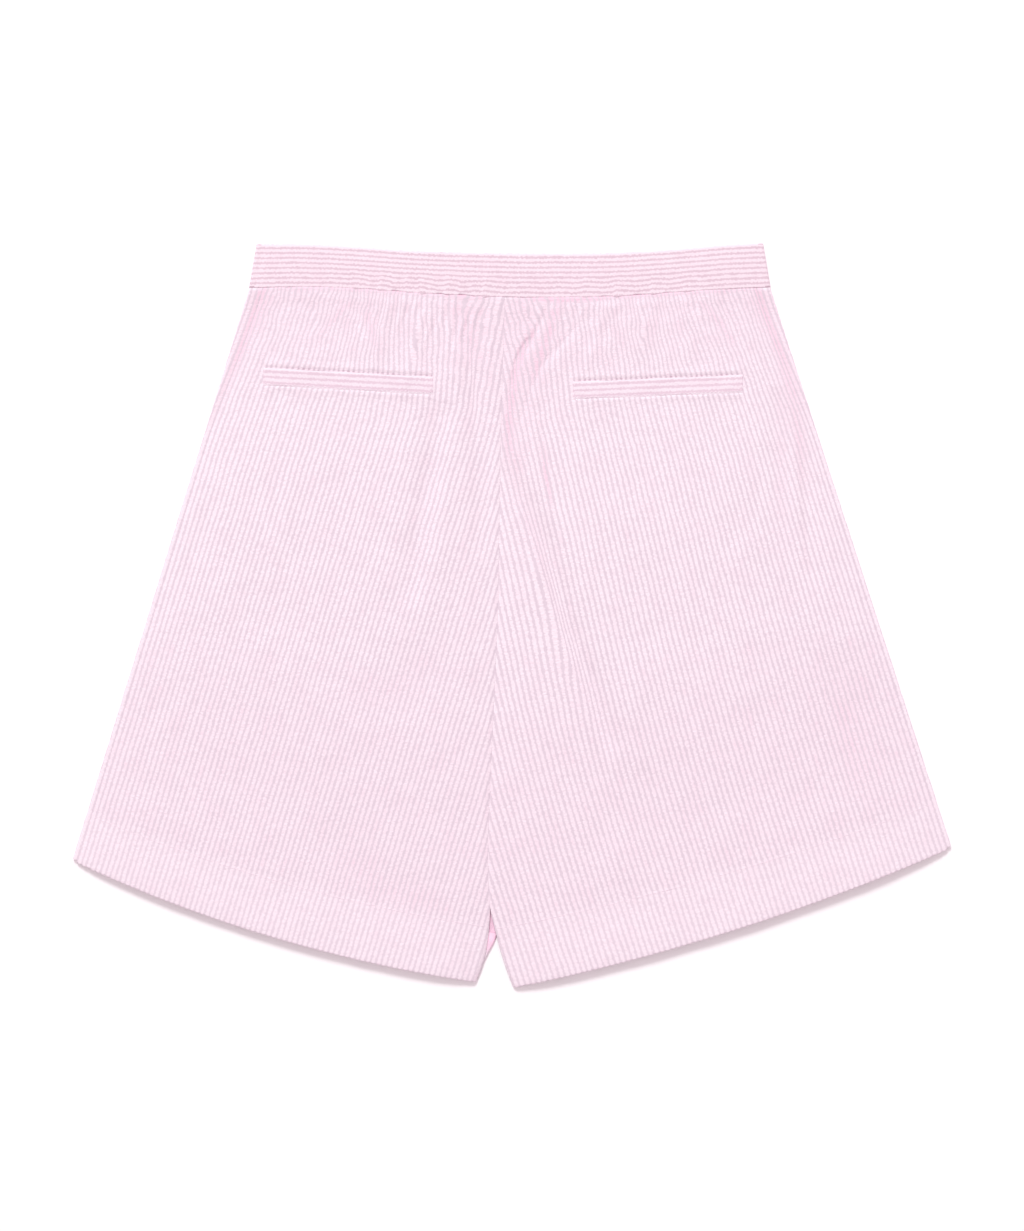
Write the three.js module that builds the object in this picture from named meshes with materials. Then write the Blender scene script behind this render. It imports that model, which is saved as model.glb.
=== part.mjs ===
// Wide-leg bermuda shorts in striped seersucker, laid flat on a table with the back uppermost.
// Millimetres. +X points to the right of the laid garment, +Y to its waist and +Z up from the table.
// The origin lies on the table, under the middle of the outline.
//
// Each leg is a flattened tube of two cut panels. The front panel lies on the table and rolls over the
// outside edge, so the side seam runs on the upper face. The back panel closes the tube from the side seam
// to the centre seam and the inseam. A waistband in two halves closes the top, and the back half is
// elasticated, which draws the back panels into gathers. Each back panel carries one welt pocket.

import * as THREE from "three";

// Cloth and seams
const CLOTH = 1.2; // wall of a panel
const SEAM_GAP = 0.3; // air between neighbouring pieces
const HALF_GAP = SEAM_GAP / 2;

// Levels above the table, for the two layers of cloth
const FRONT_TOP = CLOTH;
const BACK_UNDERSIDE = FRONT_TOP + SEAM_GAP;

// Waistband: a folded strip, with elastic in the back half
const BAND_FRONT_WALL = 1.6;
const BAND_BACK_WALL = 2.2;
const BAND_LIP = 3.6; // how far the front half rolls over each end
const BAND_RIPPLE = 0.5; // height of the ripples that the elastic makes
const BAND_CALM_ENDS = { from: 0.08, to: 0.3 }; // shares of the length over which the ripples build up
const BAND_CALM_TOP = 0.35; // the ripples' share of their height at the top edge

// The band's two long edges, from the left end to the right end
const BAND_EDGES = [
  { xTop: -179, top: 260.2, xBottom: -184.4, bottom: 229.4 },
  { xTop: -146, top: 260.0, xBottom: -148, bottom: 230.0 },
  { xTop: -112, top: 258.4, xBottom: -113, bottom: 229.2 },
  { xTop: -66, top: 255.4, xBottom: -67, bottom: 226.0 },
  { xTop: 0, top: 253.8, xBottom: 0, bottom: 222.8 },
  { xTop: 64, top: 253.9, xBottom: 64, bottom: 223.2 },
  { xTop: 110, top: 256.2, xBottom: 111, bottom: 226.0 },
  { xTop: 148, top: 259.4, xBottom: 150, bottom: 228.6 },
  { xTop: 176, top: 260.8, xBottom: 181.2, bottom: 229.8 },
];

// Legs, in plan. The outside edge is straight, because it is cut on the straight grain.
const LEG_EDGES = {
  left: { waist: [-184.2, 229.0], hem: [-308.1, -171.6], hemBow: 10.7 },
  right: { waist: [181.0, 229.4], hem: [308.1, -162.6], hemBow: 8.4 },
};

// The centre seam, from the waist to where the two legs part
const CENTRE_SEAM = [
  { x: -4.9, y: 222.4 },
  { x: -6.6, y: 170.0 },
  { x: -8.4, y: 94.0 },
  { x: -9.8, y: 10.0 },
  { x: -13.3, y: -74.0 },
  { x: -16.6, y: -150.0 },
  { x: -16.9, y: -172.0 },
  { x: -16.2, y: -195.0 },
];

// The edges between the legs, from just below the seam's end to the hem. The left front panel rolls out
// furthest.
const INSEAMS = {
  backLeft: [
    { x: -16.2, y: -207.0 },
    { x: -16.8, y: -226.0 },
    { x: -19.8, y: -242.0 },
    { x: -25.4, y: -256.8 },
  ],
  frontLeft: [
    { x: -14.6, y: -207.0 },
    { x: -10.8, y: -224.0 },
    { x: -14.6, y: -238.0 },
    { x: -25.0, y: -255.6 },
  ],
  backRight: [
    { x: -13.8, y: -207.0 },
    { x: -9.8, y: -228.0 },
    { x: -5.0, y: -244.0 },
    { x: 1.2, y: -260.8 },
  ],
  frontRight: [
    { x: -13.0, y: -207.0 },
    { x: -7.4, y: -228.0 },
    { x: -3.2, y: -244.0 },
    { x: 2.2, y: -259.6 },
  ],
};

// How far the front panel rolls over the outside edge, by distance below the waist
const SIDE_ROLL_AT_WAIST = 10.0;
const SIDE_ROLL_AT_HEM = 3.4;
const SIDE_ROLL_ENDS = 130; // below this the roll keeps its hem width
const FRONT_HEM_INSET = 1.2; // the lower hem stays hidden behind the upper one

// Panel length along the side, and where the section rows lie on it
const PANEL_LENGTH = 450;
const WAIST_CURVE_FADES = 120; // below this the rows no longer follow the waist seam's curve
const GATHER_ROWS = [0, 4, 10, 18, 28, 40]; // below the waist seam
const PARTING = 392; // where the centre seam ends and the legs part
const ROWS_TO_PARTING = 17;
const ROWS_TO_HEM = 3;
const BODY_COLUMNS = 38;
const FRONT_COLUMNS = 7;

// Air under the back panel, at the middle of its width, from the waist to the hem
const AIR = [
  { down: 0, rise: 0.9 },
  { down: 60, rise: 2.0 },
  { down: 150, rise: 2.9 },
  { down: 260, rise: 2.2 },
  { down: 360, rise: 1.4 },
  { down: 410, rise: 2.0 },
  { down: 450, rise: 3.3 },
];

// Gathers of each back panel: the crest's place along the waist seam, its height there and its length
const GATHERS = {
  left: [
    { x: -112.0, rise: 0.7, length: 22 },
    { x: -102.5, rise: 1.0, length: 34 },
    { x: -92.5, rise: 1.2, length: 26 },
    { x: -83.5, rise: 1.0, length: 20 },
    { x: -75.0, rise: 1.4, length: 30 },
    { x: -66.0, rise: 1.3, length: 24 },
    { x: -57.5, rise: 1.5, length: 38 },
    { x: -49.0, rise: 1.2, length: 22 },
    { x: -41.0, rise: 1.6, length: 36 },
    { x: -33.0, rise: 1.4, length: 44 },
    { x: -24.0, rise: 1.5, length: 30 },
    { x: -14.5, rise: 1.1, length: 40 },
  ],
  right: [
    { x: 10.0, rise: 1.1, length: 26 },
    { x: 20.5, rise: 1.4, length: 34 },
    { x: 32.0, rise: 1.6, length: 46 },
    { x: 41.0, rise: 1.4, length: 24 },
    { x: 49.0, rise: 1.5, length: 36 },
    { x: 57.5, rise: 1.3, length: 28 },
    { x: 66.5, rise: 1.5, length: 40 },
    { x: 78.5, rise: 1.2, length: 26 },
    { x: 89.0, rise: 1.3, length: 22 },
    { x: 98.0, rise: 0.9, length: 30 },
    { x: 107.5, rise: 1.0, length: 20 },
    { x: 117.5, rise: 0.8, length: 26 },
    { x: 136.0, rise: 0.6, length: 24 },
  ],
};

// Long folds of the back panels, as lines in plan. A negative rise is a trough.
const FOLDS = [
  { leg: "left", halfWidth: 9, rise: 1.5, line: [[-38, 190], [-44, 120], [-50, 50], [-62, -10]] },
  { leg: "left", halfWidth: 7, rise: -1.2, line: [[-52, 120], [-60, 60], [-68, 10]] },
  { leg: "left", halfWidth: 8, rise: -1.1, line: [[-33, 225], [-26, 170], [-22, 110]] },
  { leg: "left", halfWidth: 18, rise: -0.8, line: [[-120, -60], [-80, -50], [-45, -20]] },
  { leg: "left", halfWidth: 18, rise: -0.8, line: [[-135, -150], [-90, -190], [-50, -205]] },
  { leg: "right", halfWidth: 5, rise: 2.2, line: [[30, 205], [16, 172], [9, 140], [8, 100]] },
  { leg: "right", halfWidth: 6, rise: -1.6, line: [[22, 200], [6, 172], [0, 135], [-2, 98], [6, 76]] },
  { leg: "right", halfWidth: 9, rise: -2.2, line: [[6, 90], [21, 49], [37, -8], [53, -49], [70, -98]] },
  { leg: "right", halfWidth: 14, rise: 0.8, line: [[30, 80], [50, 20], [72, -50], [90, -110]] },
  { leg: "right", halfWidth: 6, rise: 1.2, line: [[54, 212], [42, 184], [24, 150], [16, 118]] },
  { leg: "right", halfWidth: 8, rise: -1.3, line: [[186, 160], [188, 100], [189, 40]] },
  { leg: "right", halfWidth: 7, rise: -1.4, line: [[196, 175], [204, 120], [208, 50]] },
  { leg: "right", halfWidth: 16, rise: -0.8, line: [[225, -20], [235, -70], [238, -110]] },
];
const EDGE_CALM = 14; // folds fade out this near a panel's edge
const LAST_TROUGH = 0.985; // the gathers stop short of the centre seam, as a share of the width

// Welt pockets: the strip's lower left corner, its width, its height and its slope
const WELT_WIDTH = 119;
const WELT_HEIGHT = 11.6;
const WELT_WALL = 1.0;
const WELT_LIFT = 0.36; // air between a welt and its panel
const WELT_COLUMNS = 16;
const WELT_ROWS = 2;
const WELTS = {
  left: { corner: [-174.2, 161.6], slope: -0.054 },
  right: { corner: [42.7, 151.8], slope: 0.04 },
};

// Waistband sections
const BAND_ROWS = 3;
const BAND_RIPPLES = 30;
const BAND_STEPS_PER_RIPPLE = 3;
const BAND_INNER_COLUMNS = 20;

const FOLD_ARC_STEPS = 4; // faces round the rolled edge

const PINK = new THREE.Color(0.93, 0.72, 0.82);
const PALE_PINK = new THREE.Color(0.96, 0.86, 0.91);

const lerp = THREE.MathUtils.lerp;
const smoothstep = THREE.MathUtils.smoothstep;

// A smooth line through the rows of a table
function lineThrough(rows) {
  return new THREE.SplineCurve(rows.map(({ x, y }) => new THREE.Vector2(x, y)));
}

// A value from a table whose rows have a key column, blended smoothly between rows
function fromTable(rows, key, column, at) {
  const last = rows.length - 1;
  const clamped = THREE.MathUtils.clamp(at, rows[0][key], rows[last][key]);
  const i = Math.max(0, rows.findIndex((row, n) => n < last && clamped <= rows[n + 1][key]));
  const share = (clamped - rows[i][key]) / (rows[i + 1][key] - rows[i][key]);
  const eased = share * share * (3 - 2 * share);
  return lerp(rows[i][column], rows[i + 1][column], eased);
}

const bandTop = lineThrough(BAND_EDGES.map((row) => ({ x: row.xTop, y: row.top })));
const bandBottom = lineThrough(BAND_EDGES.map((row) => ({ x: row.xBottom, y: row.bottom })));

// Height in plan of the waist seam at x, found by halving along the band's lower edge
function waistSeamY(x) {
  let [low, high] = [0, 1];
  for (let step = 0; step < 24; step += 1) {
    const middle = (low + high) / 2;
    if (bandBottom.getPoint(middle).x < x) low = middle;
    else high = middle;
  }
  return bandBottom.getPoint(low).y - SEAM_GAP;
}

// One leg's panel in plan. s runs from 0 at the outside edge to 1 at the inner edge, and down is the
// distance below the waist seam.
function panelPlan(leg, inseam, hemInset = 0) {
  const edges = LEG_EDGES[leg];
  const towardsLeg = leg === "left" ? -1 : 1;
  const seamLine = lineThrough(CENTRE_SEAM.map(({ x, y }) => ({ x: x + towardsLeg * HALF_GAP, y })));
  const inseamLine = lineThrough([seamLine.getPoint(1), ...inseam]);
  const outsideWaist = new THREE.Vector2(...edges.waist);
  const outsideHem = new THREE.Vector2(...edges.hem);
  const rise = hemInset / PANEL_LENGTH;

  function ends(down) {
    const share = (down / PANEL_LENGTH) * (1 - rise);
    const below = Math.max(0, down - PARTING) / (PANEL_LENGTH - PARTING);
    const inside =
      below > 0 ? inseamLine.getPointAt(below * (1 - rise)) : seamLine.getPointAt(down / PARTING);
    return [outsideWaist.clone().lerp(outsideHem, share), inside];
  }

  function point(s, down) {
    const [outside, inside] = ends(down);
    const across = inside.clone().sub(outside);
    const below = new THREE.Vector2(across.y, -across.x).normalize();
    if (below.y > 0) below.negate();
    const share = down / PANEL_LENGTH;
    const bow = edges.hemBow * share * share * 4 * s * (1 - s);
    const placed = outside.clone().addScaledVector(across, s).addScaledVector(below, bow);
    // The top rows follow the waist seam's own curve.
    const [waistOutside, waistInside] = ends(0);
    const waist = waistOutside.lerp(waistInside, s);
    const settled = Math.max(0, 1 - down / WAIST_CURVE_FADES) ** 2;
    placed.y += (waistSeamY(waist.x) - waist.y) * settled;
    return placed;
  }

  function width(down) {
    const [outside, inside] = ends(down);
    return outside.distanceTo(inside);
  }
  return { point, width };
}

function sideRoll(down) {
  return lerp(SIDE_ROLL_AT_WAIST, SIDE_ROLL_AT_HEM, smoothstep(down, 0, SIDE_ROLL_ENDS));
}

// How far (x, y) lies from a fold's line, and how far along the line as a share
function besideLine(line, x, y) {
  const corners = line.map(([cx, cy]) => new THREE.Vector3(cx, cy, 0));
  const lengths = corners.slice(1).map((corner, i) => corner.distanceTo(corners[i]));
  const total = lengths.reduce((sum, length) => sum + length, 0);
  const here = new THREE.Vector3(x, y, 0);
  let best = { away: Infinity, along: 0 };
  let passed = 0;
  for (let i = 0; i < lengths.length; i += 1) {
    const nearest = new THREE.Vector3();
    new THREE.Line3(corners[i], corners[i + 1]).closestPointToPoint(here, true, nearest);
    const away = nearest.distanceTo(here);
    if (away < best.away) best = { away, along: (passed + nearest.distanceTo(corners[i])) / total };
    passed += lengths[i];
  }
  return best;
}

function foldRise(leg, x, y) {
  let rise = 0;
  for (const fold of FOLDS.filter((row) => row.leg === leg)) {
    const { away, along } = besideLine(fold.line, x, y);
    const taper = Math.sqrt(Math.max(0, Math.sin(Math.PI * along)));
    rise += fold.rise * taper * Math.exp(-((away / fold.halfWidth) ** 2));
  }
  return rise;
}

// The back panel's surface: its place in plan, its underside and its gathered outer face
function backPanel(leg) {
  const plan = panelPlan(leg, INSEAMS[leg === "left" ? "backLeft" : "backRight"]);
  const crests = GATHERS[leg];
  const waistX = (share) => plan.point(share, 0).x;

  // Place across the panel, from 0 at the side seam to 1 at the centre, as plan's s
  function across(column, down) {
    const seam = (sideRoll(down) + SEAM_GAP) / plan.width(down);
    return lerp(seam, 1, column);
  }

  // Troughs lie midway between neighbouring crests, so that each gather spans one stretch of columns.
  const sideX = waistX(across(0, 0));
  const centreX = waistX(1);
  const columnOf = (x) => (x - sideX) / (centreX - sideX);
  const ordered = crests
    .map((gather) => ({ ...gather, column: columnOf(gather.x) }))
    .sort((a, b) => a.column - b.column);
  const troughs = ordered.slice(1).map((gather, i) => (gather.column + ordered[i].column) / 2);
  troughs.unshift(2 * ordered[0].column - troughs[0]);
  const lastCrest = ordered[ordered.length - 1].column;
  troughs.push(Math.min(LAST_TROUGH, 2 * lastCrest - troughs[troughs.length - 1]));

  function gatherRise(column, down) {
    const i = ordered.findIndex((_, n) => column >= troughs[n] && column <= troughs[n + 1]);
    if (i < 0) return 0;
    const share = (column - troughs[i]) / (troughs[i + 1] - troughs[i]);
    const fade = Math.exp(-((down / ordered[i].length) ** 2));
    return ordered[i].rise * fade * (0.5 - 0.5 * Math.cos(2 * Math.PI * share));
  }

  const gatherColumns = [0, troughs[0] / 3, (troughs[0] * 2) / 3];
  for (let i = 0; i < ordered.length; i += 1) {
    for (const quarter of [0, 0.25, 0.5, 0.75]) {
      gatherColumns.push(lerp(troughs[i], troughs[i + 1], quarter));
    }
  }
  gatherColumns.push(troughs[troughs.length - 1], 1);

  function underside(column, down) {
    const place = plan.point(across(column, down), down);
    const fromEdge = Math.min(column, 1 - column) * plan.width(down);
    const calm = smoothstep(fromEdge, 0, EDGE_CALM);
    const crown = Math.sqrt(Math.sin(Math.PI * THREE.MathUtils.clamp(column, 0, 1)));
    const air = fromTable(AIR, "down", "rise", down) * crown;
    const z = BACK_UNDERSIDE + Math.max(0, air + foldRise(leg, place.x, place.y) * calm);
    return new THREE.Vector3(place.x, place.y, z);
  }

  function outer(column, down) {
    const place = underside(column, down);
    place.z += CLOTH + gatherRise(column, down);
    return place;
  }

  // Column and distance below the waist for a point in plan, by repeated correction
  function locate(x, y) {
    const nudge = 0.01;
    const damping = 0.8;
    let [column, down] = [0.5, PANEL_LENGTH / 2];
    for (let step = 0; step < 60; step += 1) {
      const here = underside(column, down);
      const beside = underside(column + nudge, down);
      column += (nudge * (x - here.x)) / (beside.x - here.x);
      down -= (y - underside(column, down).y) * damping;
    }
    return { column, down };
  }
  return { underside, outer, gatherColumns, locate };
}

const evenly = (count) => Array.from({ length: count + 1 }, (_, i) => i / count);
const LAST_GATHER_ROW = GATHER_ROWS[GATHER_ROWS.length - 1];
const between = (from, to, count) => evenly(count).slice(1).map((share) => lerp(from, to, share));
const PANEL_ROWS = [
  ...GATHER_ROWS,
  ...between(LAST_GATHER_ROW, PARTING, ROWS_TO_PARTING),
  ...between(PARTING, PANEL_LENGTH, ROWS_TO_HEM),
];

// Closed solid between two sheets of cloth. A sheet is a list of rows {at, cells}, and a cell is
// {at, point}. The two sheets may have different numbers of rows and cells, and they share no points.
function wallGeometry(outerRows, innerRows) {
  const positions = [];
  const triangles = [];

  function number(rows) {
    return rows.map(({ at, cells }) => ({
      at,
      cells: cells.map(({ at: place, point }) => {
        positions.push(point.x, point.y, point.z);
        return { at: place, index: positions.length / 3 - 1 };
      }),
    }));
  }

  // Triangles between two lines of numbered points, stepping along whichever line is behind
  function stitch(first, second, turned = false) {
    let [i, j] = [0, 0];
    while (i < first.length - 1 || j < second.length - 1) {
      const nextFirst = i < first.length - 1 ? first[i + 1].at : Infinity;
      const nextSecond = j < second.length - 1 ? second[j + 1].at : Infinity;
      const here = [first[i].index, second[j].index];
      if (nextFirst <= nextSecond) i += 1;
      else j += 1;
      const next = nextFirst <= nextSecond ? first[i].index : second[j].index;
      triangles.push(...(turned ? [here[1], next, here[0]] : [here[0], next, here[1]]));
    }
  }

  const edge = (rows, pick) => rows.map(({ at, cells }) => ({ at, index: pick(cells).index }));
  const firstOf = (cells) => cells[0];
  const lastOf = (cells) => cells[cells.length - 1];

  const outer = number(outerRows);
  const inner = number(innerRows);
  outer.slice(1).forEach((row, i) => stitch(outer[i].cells, row.cells));
  inner.slice(1).forEach((row, i) => stitch(inner[i].cells, row.cells, true));
  stitch(firstOf(inner).cells, firstOf(outer).cells);
  stitch(lastOf(outer).cells, lastOf(inner).cells);
  stitch(edge(outer, firstOf), edge(inner, firstOf));
  stitch(edge(inner, lastOf), edge(outer, lastOf));

  const geometry = new THREE.BufferGeometry();
  geometry.setAttribute("position", new THREE.Float32BufferAttribute(positions, 3));
  if (signedVolume(positions, triangles) < 0) triangles.reverse();
  geometry.setIndex(triangles);
  geometry.computeVertexNormals();
  return geometry;
}

function signedVolume(positions, triangles) {
  const corner = (i) => new THREE.Vector3().fromArray(positions, 3 * i);
  let six = 0;
  for (let i = 0; i < triangles.length; i += 3) {
    const [a, b, c] = [0, 1, 2].map((n) => corner(triangles[i + n]));
    six += a.dot(b.cross(c));
  }
  return six / 6;
}

function clothMesh(name, geometry, color) {
  const material = new THREE.MeshStandardMaterial({ color, roughness: 0.9, metalness: 0 });
  const mesh = new THREE.Mesh(geometry, material);
  mesh.name = name;
  return mesh;
}

function backPanelMesh(leg) {
  const panel = backPanel(leg);
  const row = (sheet, columns, down) => ({
    at: down,
    cells: columns.map((column) => ({ at: column, point: sheet(column, down) })),
  });
  const columnsAt = (down) => (down > LAST_GATHER_ROW ? evenly(BODY_COLUMNS) : panel.gatherColumns);
  const outer = PANEL_ROWS.map((down) => row(panel.outer, columnsAt(down), down));
  const inner = PANEL_ROWS.map((down) => row(panel.underside, columnsAt(down), down));
  return clothMesh(`back_${leg}`, wallGeometry(outer, inner), PINK);
}

// The two faces of a strip that lies on the table and rolls over at one end or both. pointAt(d) gives the
// place in plan at distance d from the strip's start. The roll is a half circle from the lower level to the
// upper one, and a lip of cloth lies on the strip itself.
function rolledRow(at, pointAt, length, wall, columns, startLip, endLip) {
  const outerRadius = wall + SEAM_GAP / 2;
  const innerRadius = SEAM_GAP / 2;
  const place = (d, z) => {
    const { x, y } = pointAt(d);
    return new THREE.Vector3(x, y, z);
  };
  function half(lip, radius, mirrored) {
    const points = lip > 0 ? [place(mirrored(lip), outerRadius + radius)] : [];
    for (const share of lip > 0 ? evenly(FOLD_ARC_STEPS) : []) {
      const angle = Math.PI * share;
      const d = outerRadius - radius * Math.sin(angle);
      points.push(place(mirrored(d), outerRadius + radius * Math.cos(angle)));
    }
    return points;
  }
  function face(radius) {
    const fromStart = half(startLip, radius, (d) => d);
    const fromEnd = half(endLip, radius, (d) => length - d).reverse();
    const bedStart = startLip > 0 ? outerRadius : 0;
    const bedEnd = endLip > 0 ? length - outerRadius : length;
    const bed = evenly(columns)
      .map((share) => lerp(bedStart, bedEnd, share))
      .map((d) => place(d, outerRadius - radius));
    if (startLip > 0) bed.shift();
    if (endLip > 0) bed.pop();
    return [...fromStart, ...bed, ...fromEnd].map((point, i) => ({ at: i, point }));
  }
  return { outer: { at, cells: face(outerRadius) }, inner: { at, cells: face(innerRadius) } };
}

function frontPanelMesh(leg) {
  const inseam = INSEAMS[leg === "left" ? "frontLeft" : "frontRight"];
  const plan = panelPlan(leg, inseam, FRONT_HEM_INSET);
  const rows = PANEL_ROWS.map((down) => {
    const length = plan.width(down);
    const pointAt = (d) => plan.point(d / length, down);
    return rolledRow(down, pointAt, length, CLOTH, FRONT_COLUMNS, sideRoll(down), 0);
  });
  const geometry = wallGeometry(rows.map((row) => row.outer), rows.map((row) => row.inner));
  return clothMesh(`front_${leg}`, geometry, PINK);
}

function waistbandFrontMesh() {
  const length = bandTop.getLength();
  const rows = evenly(1).map((share) => {
    const pointAt = (d) => {
      const along = d / length;
      return bandTop.getPointAt(along).lerp(bandBottom.getPointAt(along), share);
    };
    return rolledRow(share, pointAt, length, BAND_FRONT_WALL, FRONT_COLUMNS * 2, BAND_LIP, BAND_LIP);
  });
  const geometry = wallGeometry(rows.map((row) => row.outer), rows.map((row) => row.inner));
  return clothMesh("waistband_front", geometry, PALE_PINK);
}

function waistbandBackMesh() {
  const length = bandTop.getLength();
  const start = (BAND_LIP + SEAM_GAP) / length;
  const floor = BAND_FRONT_WALL + SEAM_GAP;
  function place(column, share, z) {
    const along = lerp(start, 1 - start, column);
    const { x, y } = bandTop.getPointAt(along).lerp(bandBottom.getPointAt(along), share);
    return new THREE.Vector3(x, y, z);
  }
  // The elastic works hardest in the middle, and the cut edges and the ends stay calm.
  function ripple(column, share) {
    const middle = smoothstep(Math.min(column, 1 - column), BAND_CALM_ENDS.from, BAND_CALM_ENDS.to);
    const wave = 0.5 - 0.5 * Math.cos(2 * Math.PI * BAND_RIPPLES * column);
    return BAND_RIPPLE * middle * wave * lerp(BAND_CALM_TOP, 1, share);
  }
  const columns = evenly(BAND_RIPPLES * BAND_STEPS_PER_RIPPLE);
  const outer = evenly(BAND_ROWS).map((share) => ({
    at: share,
    cells: columns.map((column) => ({
      at: column,
      point: place(column, share, floor + BAND_BACK_WALL + ripple(column, share)),
    })),
  }));
  const inner = evenly(1).map((share) => ({
    at: share,
    cells: evenly(BAND_INNER_COLUMNS).map((column) => ({ at: column, point: place(column, share, floor) })),
  }));
  return clothMesh("waistband_back", wallGeometry(outer, inner), PALE_PINK);
}

// A welt lies on its back panel: each of its points is the panel's own, moved out.
function weltMesh(leg) {
  const panel = backPanel(leg);
  const { corner, slope } = WELTS[leg];
  function sheet(lift) {
    return evenly(WELT_ROWS).map((up) => ({
      at: up,
      cells: evenly(WELT_COLUMNS).map((along) => {
        const x = corner[0] + along * WELT_WIDTH;
        const y = corner[1] + slope * along * WELT_WIDTH + up * WELT_HEIGHT;
        const { column, down } = panel.locate(x, y);
        const point = panel.outer(column, down);
        point.z += lift;
        return { at: along, point };
      }),
    }));
  }
  const geometry = wallGeometry(sheet(WELT_LIFT + WELT_WALL), sheet(WELT_LIFT));
  return clothMesh(`welt_${leg}`, geometry, PALE_PINK);
}

const shorts = new THREE.Group();
shorts.name = "bermuda_shorts";
for (const leg of ["left", "right"]) {
  shorts.add(frontPanelMesh(leg), backPanelMesh(leg), weltMesh(leg));
}
shorts.add(waistbandFrontMesh(), waistbandBackMesh());

// The origin goes under the exact middle of the outline.
const middle = new THREE.Box3().setFromObject(shorts).getCenter(new THREE.Vector3());
shorts.position.set(-middle.x, -middle.y, 0);

export default shorts;
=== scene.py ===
# %% [markdown]
# # Bermuda shorts in striped seersucker
#
# A pair of wide-leg shorts lies flat on a white table with the back uppermost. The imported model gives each
# cut piece at its real size, but as a plain faceted solid. This lesson dresses every piece with a thin sheet
# of cloth: gathers under the elastic waist, a turned-up hem, welt pockets, stitches, and a cotton whose pink
# stripes pucker. Lengths are written in millimetres, because that is how a maker thinks of cloth, and each
# mesh is turned to Blender's metres in one place.

import bmesh
import bpy
import numpy as np
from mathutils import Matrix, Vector, noise


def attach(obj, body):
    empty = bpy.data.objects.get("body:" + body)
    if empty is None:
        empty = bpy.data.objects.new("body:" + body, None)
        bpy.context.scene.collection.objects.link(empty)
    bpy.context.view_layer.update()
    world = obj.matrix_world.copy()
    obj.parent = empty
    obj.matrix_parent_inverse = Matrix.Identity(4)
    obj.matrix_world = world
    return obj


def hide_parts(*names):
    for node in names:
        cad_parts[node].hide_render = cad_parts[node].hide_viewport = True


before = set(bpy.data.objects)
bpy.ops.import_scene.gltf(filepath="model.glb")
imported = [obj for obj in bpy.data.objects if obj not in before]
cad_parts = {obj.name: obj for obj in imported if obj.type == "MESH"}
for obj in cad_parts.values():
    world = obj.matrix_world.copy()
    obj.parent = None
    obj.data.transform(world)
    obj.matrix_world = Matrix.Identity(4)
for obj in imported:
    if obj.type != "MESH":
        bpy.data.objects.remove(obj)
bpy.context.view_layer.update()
MM = 0.001  # metres
PER_METRE = 1000
print("pieces in the packed model:", sorted(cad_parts))

# %% [markdown]
# ## Camera, light and table
#
# The photograph looks straight down, so the camera hangs over the middle of the shorts and points at the
# table. A long lens from high up keeps the outline free of perspective. Its focal length follows from one
# proportion: sensor height is to focal length as the view's height is to the camera's height.

# %% Camera
PHOTO_HEIGHT = 1231  # pixels
PHOTO_SCALE = 0.7  # mm of cloth for each pixel
SENSOR = 36.0  # mm
CAMERA_HEIGHT = 2400.0  # mm above the table
CLOTH_LEVEL = 5.0  # mm, where the upper layer lies

camera_data = bpy.data.cameras.new("camera")
camera_data.sensor_width = SENSOR
camera_data.lens = SENSOR * (CAMERA_HEIGHT - CLOTH_LEVEL) / (PHOTO_HEIGHT * PHOTO_SCALE)
camera = bpy.data.objects.new("camera", camera_data)
camera.location = (0, 0, CAMERA_HEIGHT * MM)
bpy.context.collection.objects.link(camera)
bpy.context.scene.camera = camera
print("focal length in mm:", round(camera_data.lens, 1))

# %% [markdown]
# The light is soft and comes mostly from all round. One wide, weak light stands far beyond the waistband, a
# little to the left. It is low enough to draw the creases and to drop a narrow shadow below the hems. Light
# that has passed through pale pink cloth is pink itself, so the light from all round has a faint tint. The
# lamp's own tint is the opposite one. Together they are white, and pink shows only where the lamp doesn't
# reach. The Standard view keeps the pale pinks as they are, where a filmic one would grey them.

# %% Light and table
WORLD_STRENGTH = 0.77
WORLD_TINT = (1.0, 0.885, 0.93)
KEY_WATTS = 352.0
KEY_TINT = (0.915, 1.0, 0.975)
KEY_SIZE = 2250.0  # mm
KEY_PLACE = (-1260.0, 5400.0, 4860.0)  # mm
TABLE_SIZE = 12000.0  # mm
TABLE_LEVEL = -0.3  # mm, just under the cloth

world = bpy.data.worlds.new("studio")
bpy.context.scene.world = world
world.use_nodes = True
world.node_tree.nodes["Background"].inputs["Color"].default_value = (*WORLD_TINT, 1)
world.node_tree.nodes["Background"].inputs["Strength"].default_value = WORLD_STRENGTH

key_data = bpy.data.lights.new("key", "AREA")
key_data.shape = "DISK"
key_data.size = KEY_SIZE * MM
key_data.energy = KEY_WATTS
key_data.color = KEY_TINT
key = bpy.data.objects.new("key", key_data)
key.location = Vector(KEY_PLACE) * MM
key.rotation_euler = (-key.location).to_track_quat("-Z", "Y").to_euler()
bpy.context.collection.objects.link(key)
bpy.context.scene.view_settings.view_transform = "Standard"

table_form = bmesh.new()
bmesh.ops.create_grid(table_form, x_segments=1, y_segments=1, size=TABLE_SIZE / 2 * MM)
bmesh.ops.translate(table_form, verts=table_form.verts, vec=(0, 0, TABLE_LEVEL * MM))
table_mesh = bpy.data.meshes.new("table")
table_form.to_mesh(table_mesh)
table_form.free()
table = bpy.data.objects.new("table", table_mesh)
bpy.context.collection.objects.link(table)
print("the light stands at", KEY_PLACE, "mm")

# %% [markdown]
# ## The cut of the shorts
#
# These are the sizes that the pieces were cut and laid to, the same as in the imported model. The outside edge
# of each leg is straight, because it is cut on the straight grain. The centre seam and the edges between
# the legs are smooth curves through a few measured points.

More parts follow.
